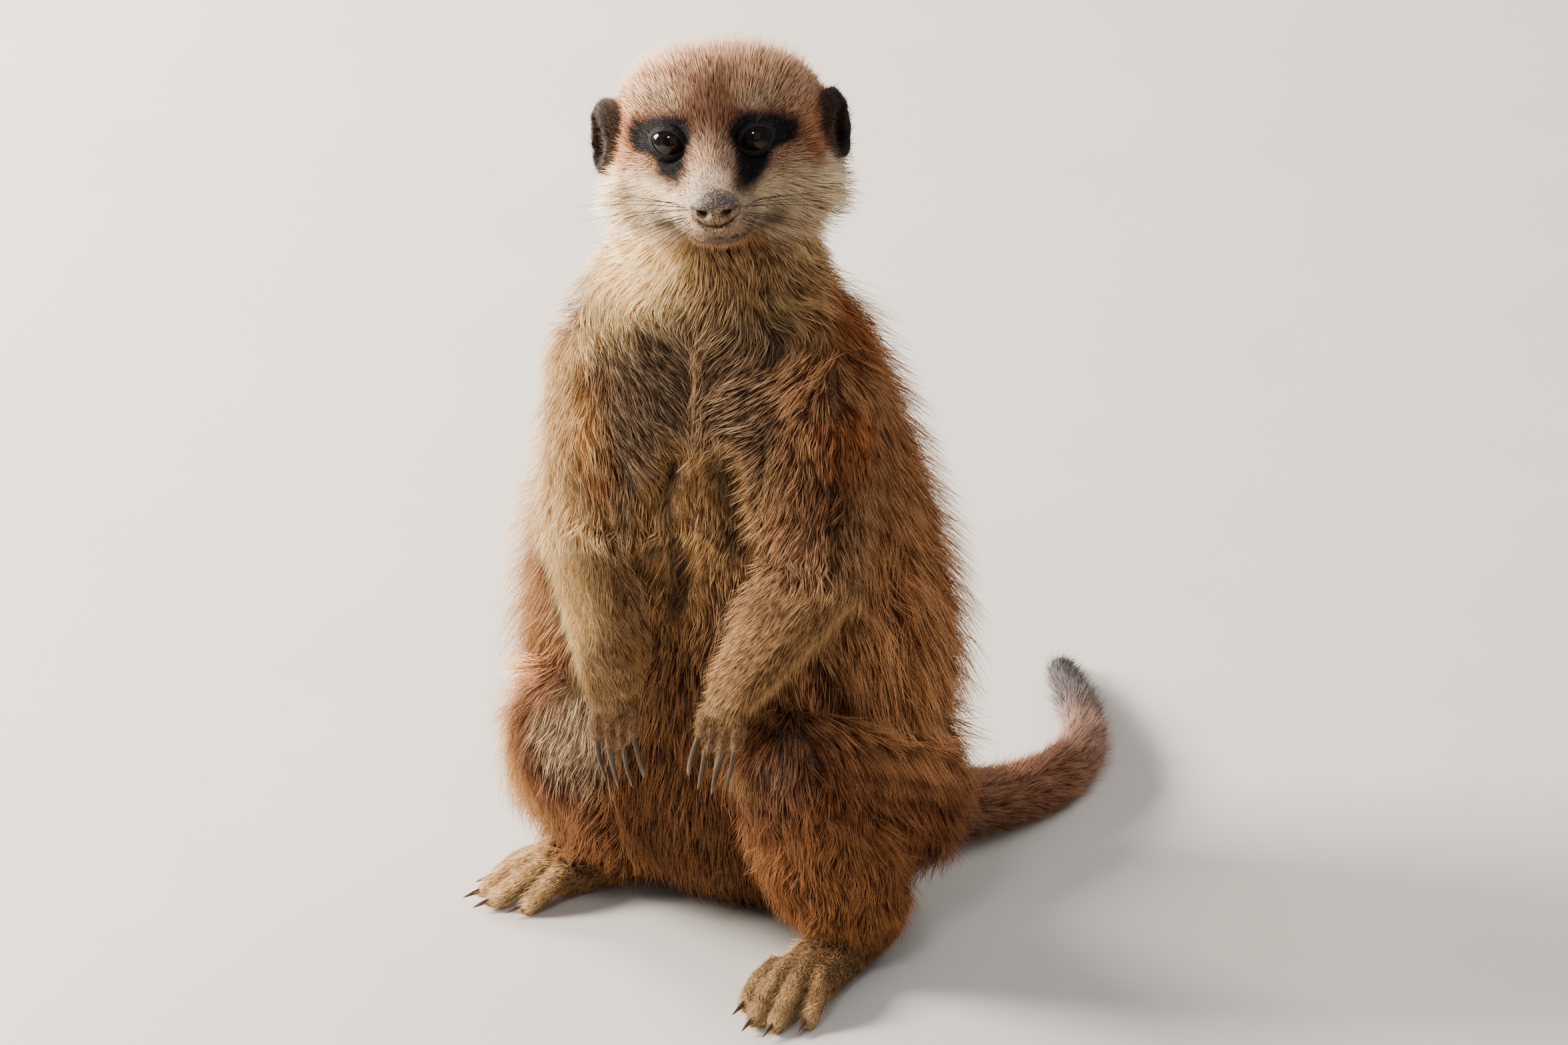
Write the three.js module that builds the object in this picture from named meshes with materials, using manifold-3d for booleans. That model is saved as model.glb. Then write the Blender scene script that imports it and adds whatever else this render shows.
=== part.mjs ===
// A life-size meerkat that sits upright on its rump with both hind feet on the floor, its forepaws
// hanging over the belly, its tail laid out behind it and its head turned to its left.
// Millimetres, +Z up. The trunk faces -Y, so the animal's left is +X.
// The outer surface is that of the coat, and every part is cut clear of its neighbours.
import * as THREE from "three";
import { mergeVertices } from "three/addons/utils/BufferGeometryUtils.js";
import Module from "manifold-3d";

const wasm = await Module();
wasm.setup();

// Driving dimensions of the animal.
const PARTING = 0.4; // width of the thin cut between two parts
const EYE_HEIGHT = 238; // from the floor to the line between the eyes
const HEAD_TURN = 19.5; // degrees that the head turns to its left
const HEAD_LIFT = 14; // degrees that the muzzle points above level
const HEAD_TILT = 4; // degrees that the left eye is above the right one
const EYE_SPREAD = 12; // from the middle of the face to the middle of an eye
const EYE_RADIUS = 5.2;
const EYE_SEAT = -2.6; // middle of an eye, behind the line between the eyes
const EAR_SPREAD = 28.3;
const SHOULDER_HEIGHT = 160;
const KNEE_HEIGHT = 64;
const ANKLE_HEIGHT = 13;
const FORE_CLAW = 10.5; // length of a fore claw past its toe
const HIND_CLAW = 8;
const TOES = 4;
const FLOOR = 0;

// Colours and finishes of the coat's regions and of the bare parts.
const finish = (color, roughness, metalness = 0) =>
  new THREE.MeshStandardMaterial({ color, roughness, metalness });
const FINISH = {
  trunkCoat: () => finish(0x9a6f45, 0.9),
  headCoat: () => finish(0xb98f68, 0.9),
  limbCoat: () => finish(0xb58a58, 0.9),
  tailCoat: () => finish(0xa06b47, 0.9),
  ear: () => finish(0x1f1815, 0.85),
  eye: () => finish(0x150c08, 0.08),
  nose: () => finish(0x4a4038, 0.6),
  claw: () => finish(0x4d5257, 0.35),
};

const X = new THREE.Vector3(1, 0, 0);
const Z = new THREE.Vector3(0, 0, 1);
const leftward = () => X.clone().negate();
const point = (x, y, z) => new THREE.Vector3(x, y, z);
const degrees = THREE.MathUtils.degToRad;

// A cross-section of a body part: its centre, its half width to the side and its depth to the
// front and to the back. A part that lies level has its top as its front.
const section = (x, y, z, side, front = side, back = front) => ({
  at: point(x, y, z),
  side,
  front,
  back,
});

// Sections that close an end with a round cap of the given length, or with a blunt point.
const ROUND = [0.72, 1];
const BLUNT = [1];
const CAP_POINT = 0.05;
function cap(end, inner, length, steps) {
  const outward = end.at.clone().sub(inner.at).normalize();
  return steps.map((share) => {
    const k = Math.max(Math.sqrt(1 - share * share), CAP_POINT);
    const at = end.at.clone().addScaledVector(outward, length * share);
    return { at, side: end.side * k, front: end.front * k, back: end.back * k };
  });
}

// Moves every vertex of a three.js geometry to the place that the function gives for it.
function reshape(geometry, place) {
  const positions = geometry.attributes.position;
  const vertex = new THREE.Vector3();
  for (let i = 0; i < positions.count; i++) {
    const moved = place(vertex.fromBufferAttribute(positions, i));
    positions.setXYZ(i, moved.x, moved.y, moved.z);
  }
  return geometry;
}

// Numbers from the first to the last in equal steps.
const spread = (first, last, steps) =>
  Array.from({ length: steps + 1 }, (_, i) => first + ((last - first) * i) / steps);

const bulge = (value, square) => Math.sign(value) * Math.abs(value) ** (2 / square);

// A body of flesh: a cylinder whose rings follow the sections, from one section to another of
// the list, and closed by round caps where it reaches the list's ends. square is 2 for oval
// rings and more for squarer ones. grow makes it larger all round, for the cut that parts a
// neighbour from it.
function flesh(sections, options = {}) {
  const { caps = [4, 4], steps = ROUND, sides = 12, rows = 1, square = 2 } = options;
  const end = sections.length - 1;
  const { from = 0, to = end, across = () => X } = options;
  return (grow) => {
    const grown = sections.map((s) => ({
      at: s.at,
      side: s.side + grow,
      front: s.front + grow,
      back: s.back + grow,
    }));
    const all = [
      ...cap(grown[0], grown[1], caps[0] + grow, steps).reverse(),
      ...grown,
      ...cap(grown[end], grown[end - 1], caps[1] + grow, steps),
    ];
    const curve = (points) => new THREE.CatmullRomCurve3(points, false, "catmullrom");
    const path = curve(all.map((s) => s.at));
    const girth = curve(all.map((s) => point(s.side, s.front, s.back)));

    const capRings = steps.length;
    const capFrom = (first) => steps.map((_, i) => first + i);
    const extra = (i) => grow / sections[i].at.distanceTo(sections[i + 1].at);
    const low = from === 0 ? 0 : from - extra(Math.floor(from));
    const high = to === end ? end : to + extra(Math.floor(to));
    const body = spread(low, high, Math.ceil((high - low) * rows)).map((i) => i + capRings);
    const rings = [
      ...(from === 0 ? capFrom(0) : []),
      ...body,
      ...(to === end ? capFrom(end + capRings + 1) : []),
    ];

    const tube = new THREE.CylinderGeometry(1, 1, rings.length - 1, sides, rings.length - 1);
    return reshape(tube, (p) => {
      const t = rings[Math.round(p.y + (rings.length - 1) / 2)] / (all.length - 1);
      const along = path.getTangent(t);
      const reference = across(along);
      const side = reference.clone().addScaledVector(along, -reference.dot(along)).normalize();
      const front = side.clone().cross(along);
      const size = girth.getPoint(t);
      return path
        .getPoint(t)
        .addScaledVector(side, bulge(p.x, square) * size.x)
        .addScaledVector(front, bulge(p.z, square) * (p.z > 0 ? size.y : size.z));
    });
  };
}

// A closed geometry as a solid, and a solid as a geometry.
function solidOf(geometry) {
  const bare = geometry.clone();
  bare.deleteAttribute("normal");
  bare.deleteAttribute("uv");
  const merged = mergeVertices(bare, 1e-4);
  const mesh = new wasm.Mesh({
    numProp: 3,
    vertProperties: merged.attributes.position.array,
    triVerts: new Uint32Array(merged.index.array),
  });
  return new wasm.Manifold(mesh);
}

function geometryOf(solid) {
  const mesh = solid.getMesh();
  const geometry = new THREE.BufferGeometry();
  geometry.setAttribute("position", new THREE.BufferAttribute(mesh.vertProperties, 3));
  geometry.setIndex(new THREE.BufferAttribute(mesh.triVerts, 1));
  geometry.computeVertexNormals();
  return geometry;
}

const largest = (solid) =>
  solid.decompose().reduce((best, piece) => (piece.volume() > best.volume() ? piece : best));

const joined = (geometries) => geometries.map(solidOf).reduce((a, b) => a.add(b));

// The head's own frame: its origin is midway between the eyes, it faces -Y and its top is +Z.
const headFrame = new THREE.Matrix4().compose(
  point(5, -25, EYE_HEIGHT),
  new THREE.Quaternion().setFromEuler(
    new THREE.Euler(degrees(-HEAD_LIFT), degrees(-HEAD_TILT), degrees(HEAD_TURN), "ZXY"),
  ),
  point(1, 1, 1),
);
const bodyFrame = new THREE.Matrix4();

const sphere = (radius, sides, rows) => new THREE.SphereGeometry(radius, sides, rows);

// Head: sections from the end of the muzzle to the back of the skull, with a shallow orbit
// round each eye.
const SKULL = [
  section(0, -27.5, -16, 5.6, 4.8, 6.8),
  section(0, -21.5, -16.6, 9, 7.6, 9.4),
  section(0, -14.5, -16, 11.4, 10, 11),
  section(0, -8.5, -13.6, 13.8, 13, 13),
  section(0, -3, -11.5, 20.5, 18.5, 16),
  section(0, 3, -11.5, 27.5, 24.5, 18.4),
  section(0.5, 11, -11, 31, 30.5, 20),
  section(0.5, 20, -10, 31.2, 30.4, 19),
  section(0.5, 31, -8, 28.5, 25.6, 15.5),
  section(0, 40, -6, 22, 17.5, 11),
];
const ORBIT = { radius: 7.6, across: 13.2, ahead: -10.2, above: 0.4 };
const skull = flesh(SKULL, { caps: [2.4, 8], sides: 22, rows: 1.2, square: 2.5 });
function headShape(grow) {
  if (grow > 0) return skull(grow);
  const orbits = [-1, 1].map((side) =>
    sphere(ORBIT.radius, 10, 6).translate(side * ORBIT.across, ORBIT.ahead, ORBIT.above),
  );
  return geometryOf(solidOf(skull(0)).subtract(joined(orbits)));
}

// Nose pad: a broad rounded pad with two nostrils that open to the front and sides.
const NOSE = { ahead: 28.6, below: 14.2, wide: 6.5, deep: 4.2, tall: 5 };
const NOSTRIL = { across: 3, ahead: 3.6, below: 0.6, wide: 1.5, deep: 2.6, tall: 1.2, turn: 28 };
function nosePad(grow) {
  const pad = sphere(1, 10, 7)
    .rotateX(Math.PI / 2)
    .scale(NOSE.wide + grow, NOSE.deep + grow, NOSE.tall + grow)
    .translate(0, -NOSE.ahead, -NOSE.below);
  if (grow > 0) return pad;
  const nostrils = [-1, 1].map((side) =>
    sphere(1, 6, 4)
      .scale(NOSTRIL.wide, NOSTRIL.deep, NOSTRIL.tall)
      .rotateZ(side * degrees(NOSTRIL.turn))
      .translate(
        side * NOSTRIL.across,
        -NOSE.ahead - NOSTRIL.ahead,
        -NOSE.below - NOSTRIL.below,
      ),
  );
  return geometryOf(solidOf(pad).subtract(joined(nostrils)));
}

const eyeball = (side) => (grow) =>
  sphere(EYE_RADIUS + grow, 10, 7)
    .rotateX(Math.PI / 2)
    .translate(side * EYE_SPREAD, EYE_SEAT, 0);

// Ear: a low oval cup at the side of the head, open to the front and outwards.
const EAR = { wide: 5.6, deep: 7.2, tall: 10.6, turn: 14, behind: 15.5, below: 2.5 };
function ear(side) {
  const seat = (shape) =>
    shape.rotateZ(side * degrees(EAR.turn)).translate(side * EAR_SPREAD, EAR.behind, -EAR.below);
  return (grow) => {
    const outer = seat(sphere(1, 10, 7).scale(EAR.wide + grow, EAR.deep + grow, EAR.tall + grow));
    if (grow > 0) return outer;
    const hollow = seat(
      sphere(1, 8, 5)
        .scale(EAR.wide * 0.62, EAR.deep * 0.7, EAR.tall * 0.74)
        .translate(side * 2.6, -3.6, 0),
    );
    return geometryOf(solidOf(outer).subtract(solidOf(hollow)));
  };
}

// Torso: sections from the rump on the floor up to the throat. The neck begins at the section
// numbered NECK_START.
const TORSO = [
  section(0, 30, 5, 30, 14, 24),
  section(0, 22, 18, 42, 30, 33),
  section(0, 14, 40, 52, 42, 43),
  section(-1.5, 8, 66, 58.5, 49, 49),
  section(-2, 5, 92, 60, 47, 49),
  section(-1, 2, 118, 54.5, 42, 46),
  section(-1, -2, 144, 47.5, 38, 42),
  section(-2.5, -5, 166, 42.5, 32, 37),
  section(-3, -7, 183, 36, 28, 32),
  section(-1, -8, 198, 27, 23, 26.5),
  section(0, -9, 211, 24.5, 22, 25),
  section(0, -8, 224, 23.5, 20, 24),
];
const NECK_START = 8.3;
const torsoSpan = (span) => flesh(TORSO, { caps: [7, 6], sides: 16, ...span });

// A limb's length from one joint to the next, with a radius at its start, middle and end.
const LIMB_CAP = 0.8; // length of a limb's round end, as a share of its radius
const limb = (start, end, radii) => {
  const middle = start.clone().lerp(end, 0.5);
  const stations = [start, middle, end].map((p, i) => section(p.x, p.y, p.z, radii[i]));
  const caps = [radii[0] * LIMB_CAP, radii[2] * LIMB_CAP];
  return flesh(stations, { caps, sides: 9, across: leftward });
};

// Radii of each limb part at its start, middle and end.
const GIRTH = {
  upper_arm: [17, 16, 14],
  forearm: [13.5, 10.8, 8],
  thigh: [29, 26.5, 18.5],
  shank: [15, 19.5, 15],
};

// Joints of the four limbs. The right hind foot is set out to the side.
const POSE = {
  left: {
    shoulder: point(28, -13, SHOULDER_HEIGHT),
    elbow: point(34, -29, 119),
    wrist: point(20, -51, 93),
    pawHeading: point(-5, -9, -24),
    hip: point(32, 16, 36),
    knee: point(29, -34, KNEE_HEIGHT),
    ankle: point(39, -12, ANKLE_HEIGHT),
    footHeading: point(-7, -48, 0),
  },
  right: {
    shoulder: point(-31, -13, SHOULDER_HEIGHT + 2),
    elbow: point(-29, -29, 119),
    wrist: point(-14, -53, 90),
    pawHeading: point(5, -6, -24),
    hip: point(-38, 10, 33),
    knee: point(-34, -30, KNEE_HEIGHT),
    ankle: point(-30, 14, ANKLE_HEIGHT),
    footHeading: point(-31, -34, 0),
  },
};

// The frame of a paw or foot: its origin at the joint, -Y along the toes and +Z at its back.
function extremityFrame(joint, heading, upward) {
  const backward = heading.clone().normalize().negate();
  const left = backward.clone().cross(upward).normalize();
  const top = left.clone().cross(backward);
  return new THREE.Matrix4().makeBasis(left, backward, top).setPosition(joint);
}

// Toe i of four, as its place across the foot (-1 to 1) and its share of the full toe length.
const toeOf = (i) => {
  const across = (2 * i) / (TOES - 1) - 1;
  return { across, reach: 1 - 0.16 * across * across };
};

const BLUNT_TOE = { sides: 5, steps: BLUNT, caps: [1.5, 2.2] };
const FOOT = { length: 46, heel: 12, width: 10, height: 7.6, toe: 17, toeRadius: 3.7 };
const PAW = { length: 17, heel: 4, width: 5.8, height: 5.2, toe: 8, toeRadius: 2.3 };

const toeRoot = (size, across, drop) =>
  point(across * size.width * 0.62, -(size.length - size.toe), drop);
const toeTip = (size, toe, drop) =>
  point(toe.across * size.width * 0.9, -size.length * toe.reach, drop);

// A foot or paw: a palm with four toes, their tops arched.
function extremity(size, drop) {
  const palmEnd = size.length - size.toe;
  const palm = flesh(
    [
      section(0, size.heel, drop.heel, size.width * 0.72, size.height * 0.8),
      section(0, -palmEnd * 0.4, drop.palm, size.width * 0.86, size.height),
      section(0, -palmEnd, drop.palm, size.width, size.height * 0.86),
    ],
    { caps: [4, 5], sides: 8, across: leftward },
  );
  return (grow) => {
    const toes = Array.from({ length: TOES }, (_, i) => {
      const toe = toeOf(i);
      const root = toeRoot(size, toe.across, drop.palm);
      const tip = toeTip(size, toe, drop.toe);
      const knuckle = root.clone().lerp(tip, 0.55).add(point(0, 0, size.toeRadius * 0.35));
      const r = size.toeRadius;
      const stations = [root, knuckle, tip].map((p, j) =>
        section(p.x, p.y, p.z, r * [1, 1.02, 0.78][j]),
      );
      return flesh(stations, { ...BLUNT_TOE, across: leftward })(grow);
    });
    return geometryOf(joined([palm(grow), ...toes]));
  };
}

// A claw: a round tapering hook that grows out of the toe's end and curves down. The claws of
// a paw run nearly side by side.
const CLAW = { thick: 1.75, narrow: 0.78, taper: 0.72, start: 1.2, rise: 0.5, together: 0.7 };
function claw(size, drop, i, length) {
  const toe = toeOf(i);
  const root = toeRoot(size, toe.across, drop.palm);
  const tip = toeTip(size, toe, drop.toe);
  const ahead = point(0, -1, 0);
  const forward = tip.clone().sub(root).setZ(0).normalize().lerp(ahead, CLAW.together).normalize();
  const stations = [-0.2, 0.4, 0.9].map((share) => {
    const fall = length * drop.hook * share * Math.abs(share);
    const at = tip.clone().addScaledVector(forward, CLAW.start + length * share);
    const thick = CLAW.thick * (1 - CLAW.taper * Math.max(share, 0));
    return section(at.x, at.y, at.z + CLAW.rise - fall, thick * CLAW.narrow, thick, thick);
  });
  return flesh(stations, { sides: 5, steps: BLUNT, caps: [0.8, 1.4], across: leftward });
}

const FOOT_DROP = { heel: -6.5, palm: -7, toe: -10.1, hook: 0.2 };
const PAW_DROP = { heel: 0, palm: 0, toe: -0.6, hook: 0.34 };

// Tail: laid on the floor from the rump out to the left, then back behind the animal.
const TAIL = [
  section(6, 44, 17, 18, 16, 18),
  section(30, 54, 12.5, 11.5, 11, 13),
  section(48, 72, 9.6, 9.2, 8.8, 10.2),
  section(57, 94, 8.2, 8, 7.8, 8.8),
  section(55, 117, 7, 7, 6.8, 7.6),
  section(44, 139, 5.8, 5.8, 5.6, 6.4),
  section(32, 159, 4.4, 4.4, 4.2, 5),
];
const TAIL_SPANS = {
  tail_base: { to: 2 },
  tail_middle: { from: 2, to: 4 },
  tail_tip: { from: 4 },
};
const tailSpan = (span) =>
  flesh(TAIL, { caps: [8, 7], rows: 1.5, sides: 9, across: (along) => along.clone().cross(Z), ...span });

// The parts, each with its frame. A part is cut clear of all parts named before it.
const parts = [];
const part = (name, coat, frame, build) => parts.push({ name, coat, frame, build });

const SIDES = { left: 1, right: -1 };
for (const [name, side] of Object.entries(SIDES)) {
  part(`eye_${name}`, "eye", headFrame, eyeball(side));
}
part("nose", "nose", headFrame, nosePad);
for (const [name, side] of Object.entries(SIDES)) {
  part(`ear_${name}`, "ear", headFrame, ear(side));
}
part("head", "headCoat", headFrame, headShape);

for (const name of Object.keys(SIDES)) {
  const pose = POSE[name];
  const footFrame = extremityFrame(pose.ankle, pose.footHeading, Z);
  const pawFrame = extremityFrame(pose.wrist, pose.pawHeading, point(0, -1, 0.2));
  for (let i = 0; i < TOES; i++) {
    part(`hind_claw_${name}_${i + 1}`, "claw", footFrame, claw(FOOT, FOOT_DROP, i, HIND_CLAW));
    part(`fore_claw_${name}_${i + 1}`, "claw", pawFrame, claw(PAW, PAW_DROP, i, FORE_CLAW));
  }
  part(`hind_foot_${name}`, "limbCoat", footFrame, extremity(FOOT, FOOT_DROP));
  part(`forepaw_${name}`, "limbCoat", pawFrame, extremity(PAW, PAW_DROP));
}
const LIMB_PARTS = [
  ["forearm", "limbCoat", "elbow", "wrist"],
  ["thigh", "trunkCoat", "hip", "knee"],
  ["upper_arm", "trunkCoat", "shoulder", "elbow"],
  ["shank", "limbCoat", "knee", "ankle"],
];
for (const [limbPart, coat, start, end] of LIMB_PARTS) {
  for (const name of Object.keys(SIDES)) {
    const pose = POSE[name];
    part(`${limbPart}_${name}`, coat, bodyFrame, limb(pose[start], pose[end], GIRTH[limbPart]));
  }
}
for (const [name, span] of Object.entries(TAIL_SPANS)) {
  part(name, "tailCoat", bodyFrame, tailSpan(span));
}
part("neck", "trunkCoat", bodyFrame, torsoSpan({ from: NECK_START }));
part("trunk", "trunkCoat", bodyFrame, torsoSpan({ to: NECK_START }));

// Everything below the floor's level is cut away, which leaves the flats that the animal rests on.
const BELOW = 60;
const belowFloor = solidOf(
  new THREE.BoxGeometry(800, 800, BELOW).translate(0, 0, FLOOR - BELOW / 2),
);

const animal = new THREE.Group();
const cutters = [belowFloor];
for (const { name, coat, frame, build } of parts) {
  const inBody = (grow) => solidOf(build(grow).applyMatrix4(frame));
  const cut = cutters.reduce((rest, cutter) => rest.subtract(cutter), inBody(0));
  cutters.push(inBody(PARTING));
  const geometry = geometryOf(largest(cut)).applyMatrix4(frame.clone().invert());
  const mesh = new THREE.Mesh(geometry, FINISH[coat]());
  mesh.name = name;
  frame.decompose(mesh.position, mesh.quaternion, mesh.scale);
  animal.add(mesh);
}

// The origin is under the middle of the whole animal's box, at the floor.
animal.updateMatrixWorld(true);
const middle = new THREE.Box3().setFromObject(animal, true).getCenter(new THREE.Vector3());
for (const mesh of animal.children) {
  mesh.position.x -= middle.x;
  mesh.position.y -= middle.y;
}

export default animal;
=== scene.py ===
"""Looks of a life-size meerkat that sits upright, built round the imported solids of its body.

Places are in the frame of the solids: +Z up, the trunk faces -Y and the animal's left is +X.
Anatomy is worked out in millimetres and meshes are made in metres. One skin stands for the
flesh, and joined tufts of hair, rooted in that skin, stand for the coat.
"""

import logging
import math
from dataclasses import dataclass
from enum import Enum

import bmesh
import bpy
import numpy as np
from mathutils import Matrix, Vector
from mathutils.bvhtree import BVHTree
from mathutils.kdtree import KDTree


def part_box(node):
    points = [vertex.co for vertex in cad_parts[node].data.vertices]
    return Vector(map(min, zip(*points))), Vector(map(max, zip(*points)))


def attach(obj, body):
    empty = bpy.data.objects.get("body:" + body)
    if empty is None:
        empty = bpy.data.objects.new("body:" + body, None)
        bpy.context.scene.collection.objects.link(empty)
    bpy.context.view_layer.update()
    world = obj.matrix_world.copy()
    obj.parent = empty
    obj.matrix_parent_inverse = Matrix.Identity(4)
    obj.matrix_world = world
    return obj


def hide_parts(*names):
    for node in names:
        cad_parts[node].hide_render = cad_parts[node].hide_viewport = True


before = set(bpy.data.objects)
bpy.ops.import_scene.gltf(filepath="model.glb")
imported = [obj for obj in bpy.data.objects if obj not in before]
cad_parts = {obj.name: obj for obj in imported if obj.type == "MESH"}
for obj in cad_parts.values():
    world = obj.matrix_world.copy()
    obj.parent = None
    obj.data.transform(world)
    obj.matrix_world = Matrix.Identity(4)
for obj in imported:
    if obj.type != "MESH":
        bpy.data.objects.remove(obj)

logging.basicConfig(level=logging.INFO, format="%(name)s: %(message)s")
log = logging.getLogger("meerkat")

MM = 0.001
SIDES = {"left": 1.0, "right": -1.0}
Array = np.ndarray
BMesh = bmesh.types.BMesh
Material, Mesh, Object = bpy.types.Material, bpy.types.Mesh, bpy.types.Object
Node, NodeSocket, NodeTree = bpy.types.Node, bpy.types.NodeSocket, bpy.types.NodeTree


# ----------------------------
# Small helpers


def linear(red: int, green: int, blue: int) -> tuple[float, float, float]:
    """Linear light values of a display colour given from 0 to 255."""
    share = np.array([red, green, blue]) / 255.0
    low, high = share / 12.92, ((share + 0.055) / 1.055) ** 2.4
    return tuple(float(v) for v in np.where(share <= 0.04045, low, high))


def fade(value: Array, start: float, end: float) -> Array:
    """Rises smoothly from 0 at start to 1 at end, whichever of the two is larger."""
    t = np.clip((value - start) / (end - start), 0.0, 1.0)
    return t * t * (3.0 - 2.0 * t)


def bell(value: Array, width: float | Array = 1.0) -> Array:
    """1 at zero, falling on both sides within about the width."""
    return np.exp(-((value / width) ** 2))


def unit(vectors: Array) -> Array:
    """Vectors scaled to length one along the last axis."""
    return vectors / np.maximum(np.linalg.norm(vectors, axis=-1, keepdims=True), 1e-9)


def flatten(vectors: Array, normals: Array) -> Array:
    """Unit directions of the vectors once laid in the surface."""
    return unit(vectors - (vectors * normals).sum(-1, keepdims=True) * normals)


def oval(a: Array, b: Array, centre: tuple[float, float], size: tuple[float, float]) -> Array:
    """Distance from an oval's middle, 1 on its outline."""
    return np.hypot((a - centre[0]) / size[0], (b - centre[1]) / size[1])


def ripple(points: Array, scale: float, seed: int) -> Array:
    """Smooth wandering values between about -1 and 1, with features of the given size."""
    draw = np.random.default_rng(seed)
    total = np.zeros(len(points))
    for _ in range(5):
        wave = unit(draw.normal(size=3)) * draw.uniform(0.7, 1.5) / scale
        total += np.sin(points @ wave * math.tau + draw.uniform(0, math.tau))
    return total / 2.6


def read(items: bpy.types.bpy_prop_collection, name: str, width: int = 3) -> Array:
    """Values of every item of a mesh, one row each."""
    values = np.empty(len(items) * width, np.float32)
    items.foreach_get(name, values)
    return values.reshape(-1, width)


def points_of(mesh: Mesh) -> Array:
    """Vertices of a mesh, in millimetres."""
    return read(mesh.vertices, "co").astype(float) / MM


def node_points(name: str) -> Array:
    """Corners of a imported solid, in millimetres."""
    return points_of(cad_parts[name].data)


def tree_of(points: Array) -> KDTree:
    """Search tree over the points."""
    tree = KDTree(len(points))
    for index, point in enumerate(points):
        tree.insert(point, index)
    tree.balance()
    return tree


def middle(name: str) -> Array:
    """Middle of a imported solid's box, in millimetres."""
    low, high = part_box(name)
    return np.array((low + high) / 2) / MM


def within(name: str, x: float, y: float, z: float) -> Array:
    """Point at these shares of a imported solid's box, in millimetres."""
    low, high = (np.array(corner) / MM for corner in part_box(name))
    return low + np.array([x, y, z]) * (high - low)


def new_object(name: str, mesh: Mesh) -> Object:
    """Links a new object that holds the mesh."""
    piece = bpy.data.objects.new(name, mesh)
    bpy.context.scene.collection.objects.link(piece)
    return piece


def mesh_object(name: str, bm: BMesh, smooth: bool = True) -> Object:
    """Turns a bmesh in metres into an object and frees it."""
    mesh = bpy.data.meshes.new(name)
    bm.to_mesh(mesh)
    bm.free()
    mesh.shade_smooth() if smooth else mesh.shade_flat()
    return new_object(name, mesh)


def solid_part(name: str, weld: float) -> BMesh:
    """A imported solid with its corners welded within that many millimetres."""
    part = bmesh.new()
    part.from_mesh(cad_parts[name].data)
    bmesh.ops.remove_doubles(part, verts=part.verts, dist=weld * MM)
    return part


def merge(part: BMesh, into: BMesh) -> None:
    """Moves all of one bmesh into another and frees it."""
    mesh = bpy.data.meshes.new("part")
    part.to_mesh(mesh)
    part.free()
    into.from_mesh(mesh)
    bpy.data.meshes.remove(mesh)


def point_attribute(mesh: Mesh, name: str, values: Array) -> None:
    """Stores a number or a colour for every vertex."""
    if values.ndim == 1:
        layer = mesh.attributes.new(name, "FLOAT", "POINT")
        layer.data.foreach_set("value", values.astype(np.float32))
        return
    layer = mesh.attributes.new(name, "FLOAT_COLOR", "POINT")
    opaque = np.concatenate([values, np.ones((len(values), 1))], axis=1)
    layer.data.foreach_set("color", opaque.astype(np.float32).ravel())


# ----------------------------
# Anatomy


class Region(Enum):
    """Parts of the body whose hair differs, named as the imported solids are."""

    HEAD = "head"
    EAR = "ear"
    NECK = "neck"
    TRUNK = "trunk"
    UPPER_ARM = "upper_arm"
    FOREARM = "forearm"
    FOREPAW = "forepaw"
    THIGH = "thigh"
    SHANK = "shank"
    HIND_FOOT = "hind_foot"
    TAIL = "tail"


FLESH = [
    name
    for name in sorted(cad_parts)
    if any(name.startswith(region.value) for region in Region)
]


@dataclass(frozen=True)
class Axes:
    """A place on the body with axes of its own, in millimetres."""

    origin: Array
    axes: Array

    def local(self, points: Array) -> Array:
        """Points of the body in these axes."""
        return (points - self.origin) @ self.axes.T

    def world(self, points: Array) -> Array:
        """Points in these axes in those of the body."""
        return self.turn(points) + self.origin

    def turn(self, vectors: Array) -> Array:
        """Directions in these axes in those of the body."""
        return np.asarray(vectors) @ self.axes


@dataclass(frozen=True)
class HeadFrame(Axes):
    """The head's axes, from midway between the eyes.

    x runs to the animal's left, y to the back of the skull and z to the crown.
    """

    nose_drop: float = math.radians(24.0)

    @classmethod
    def measure(cls) -> "HeadFrame":
        """Finds the frame from the two eyes and the nose."""
        left_eye, right_eye, nose = middle("eye_left"), middle("eye_right"), middle("nose")
        origin = (left_eye + right_eye) / 2
        left = unit(left_eye - right_eye)
        ahead = unit((nose - origin) - ((nose - origin) @ left) * left)
        above = np.cross(left, -ahead)
        back = -(ahead * math.cos(cls.nose_drop) + above * math.sin(cls.nose_drop))
        return cls(origin, np.array([left, back, np.cross(left, back)]))


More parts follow.
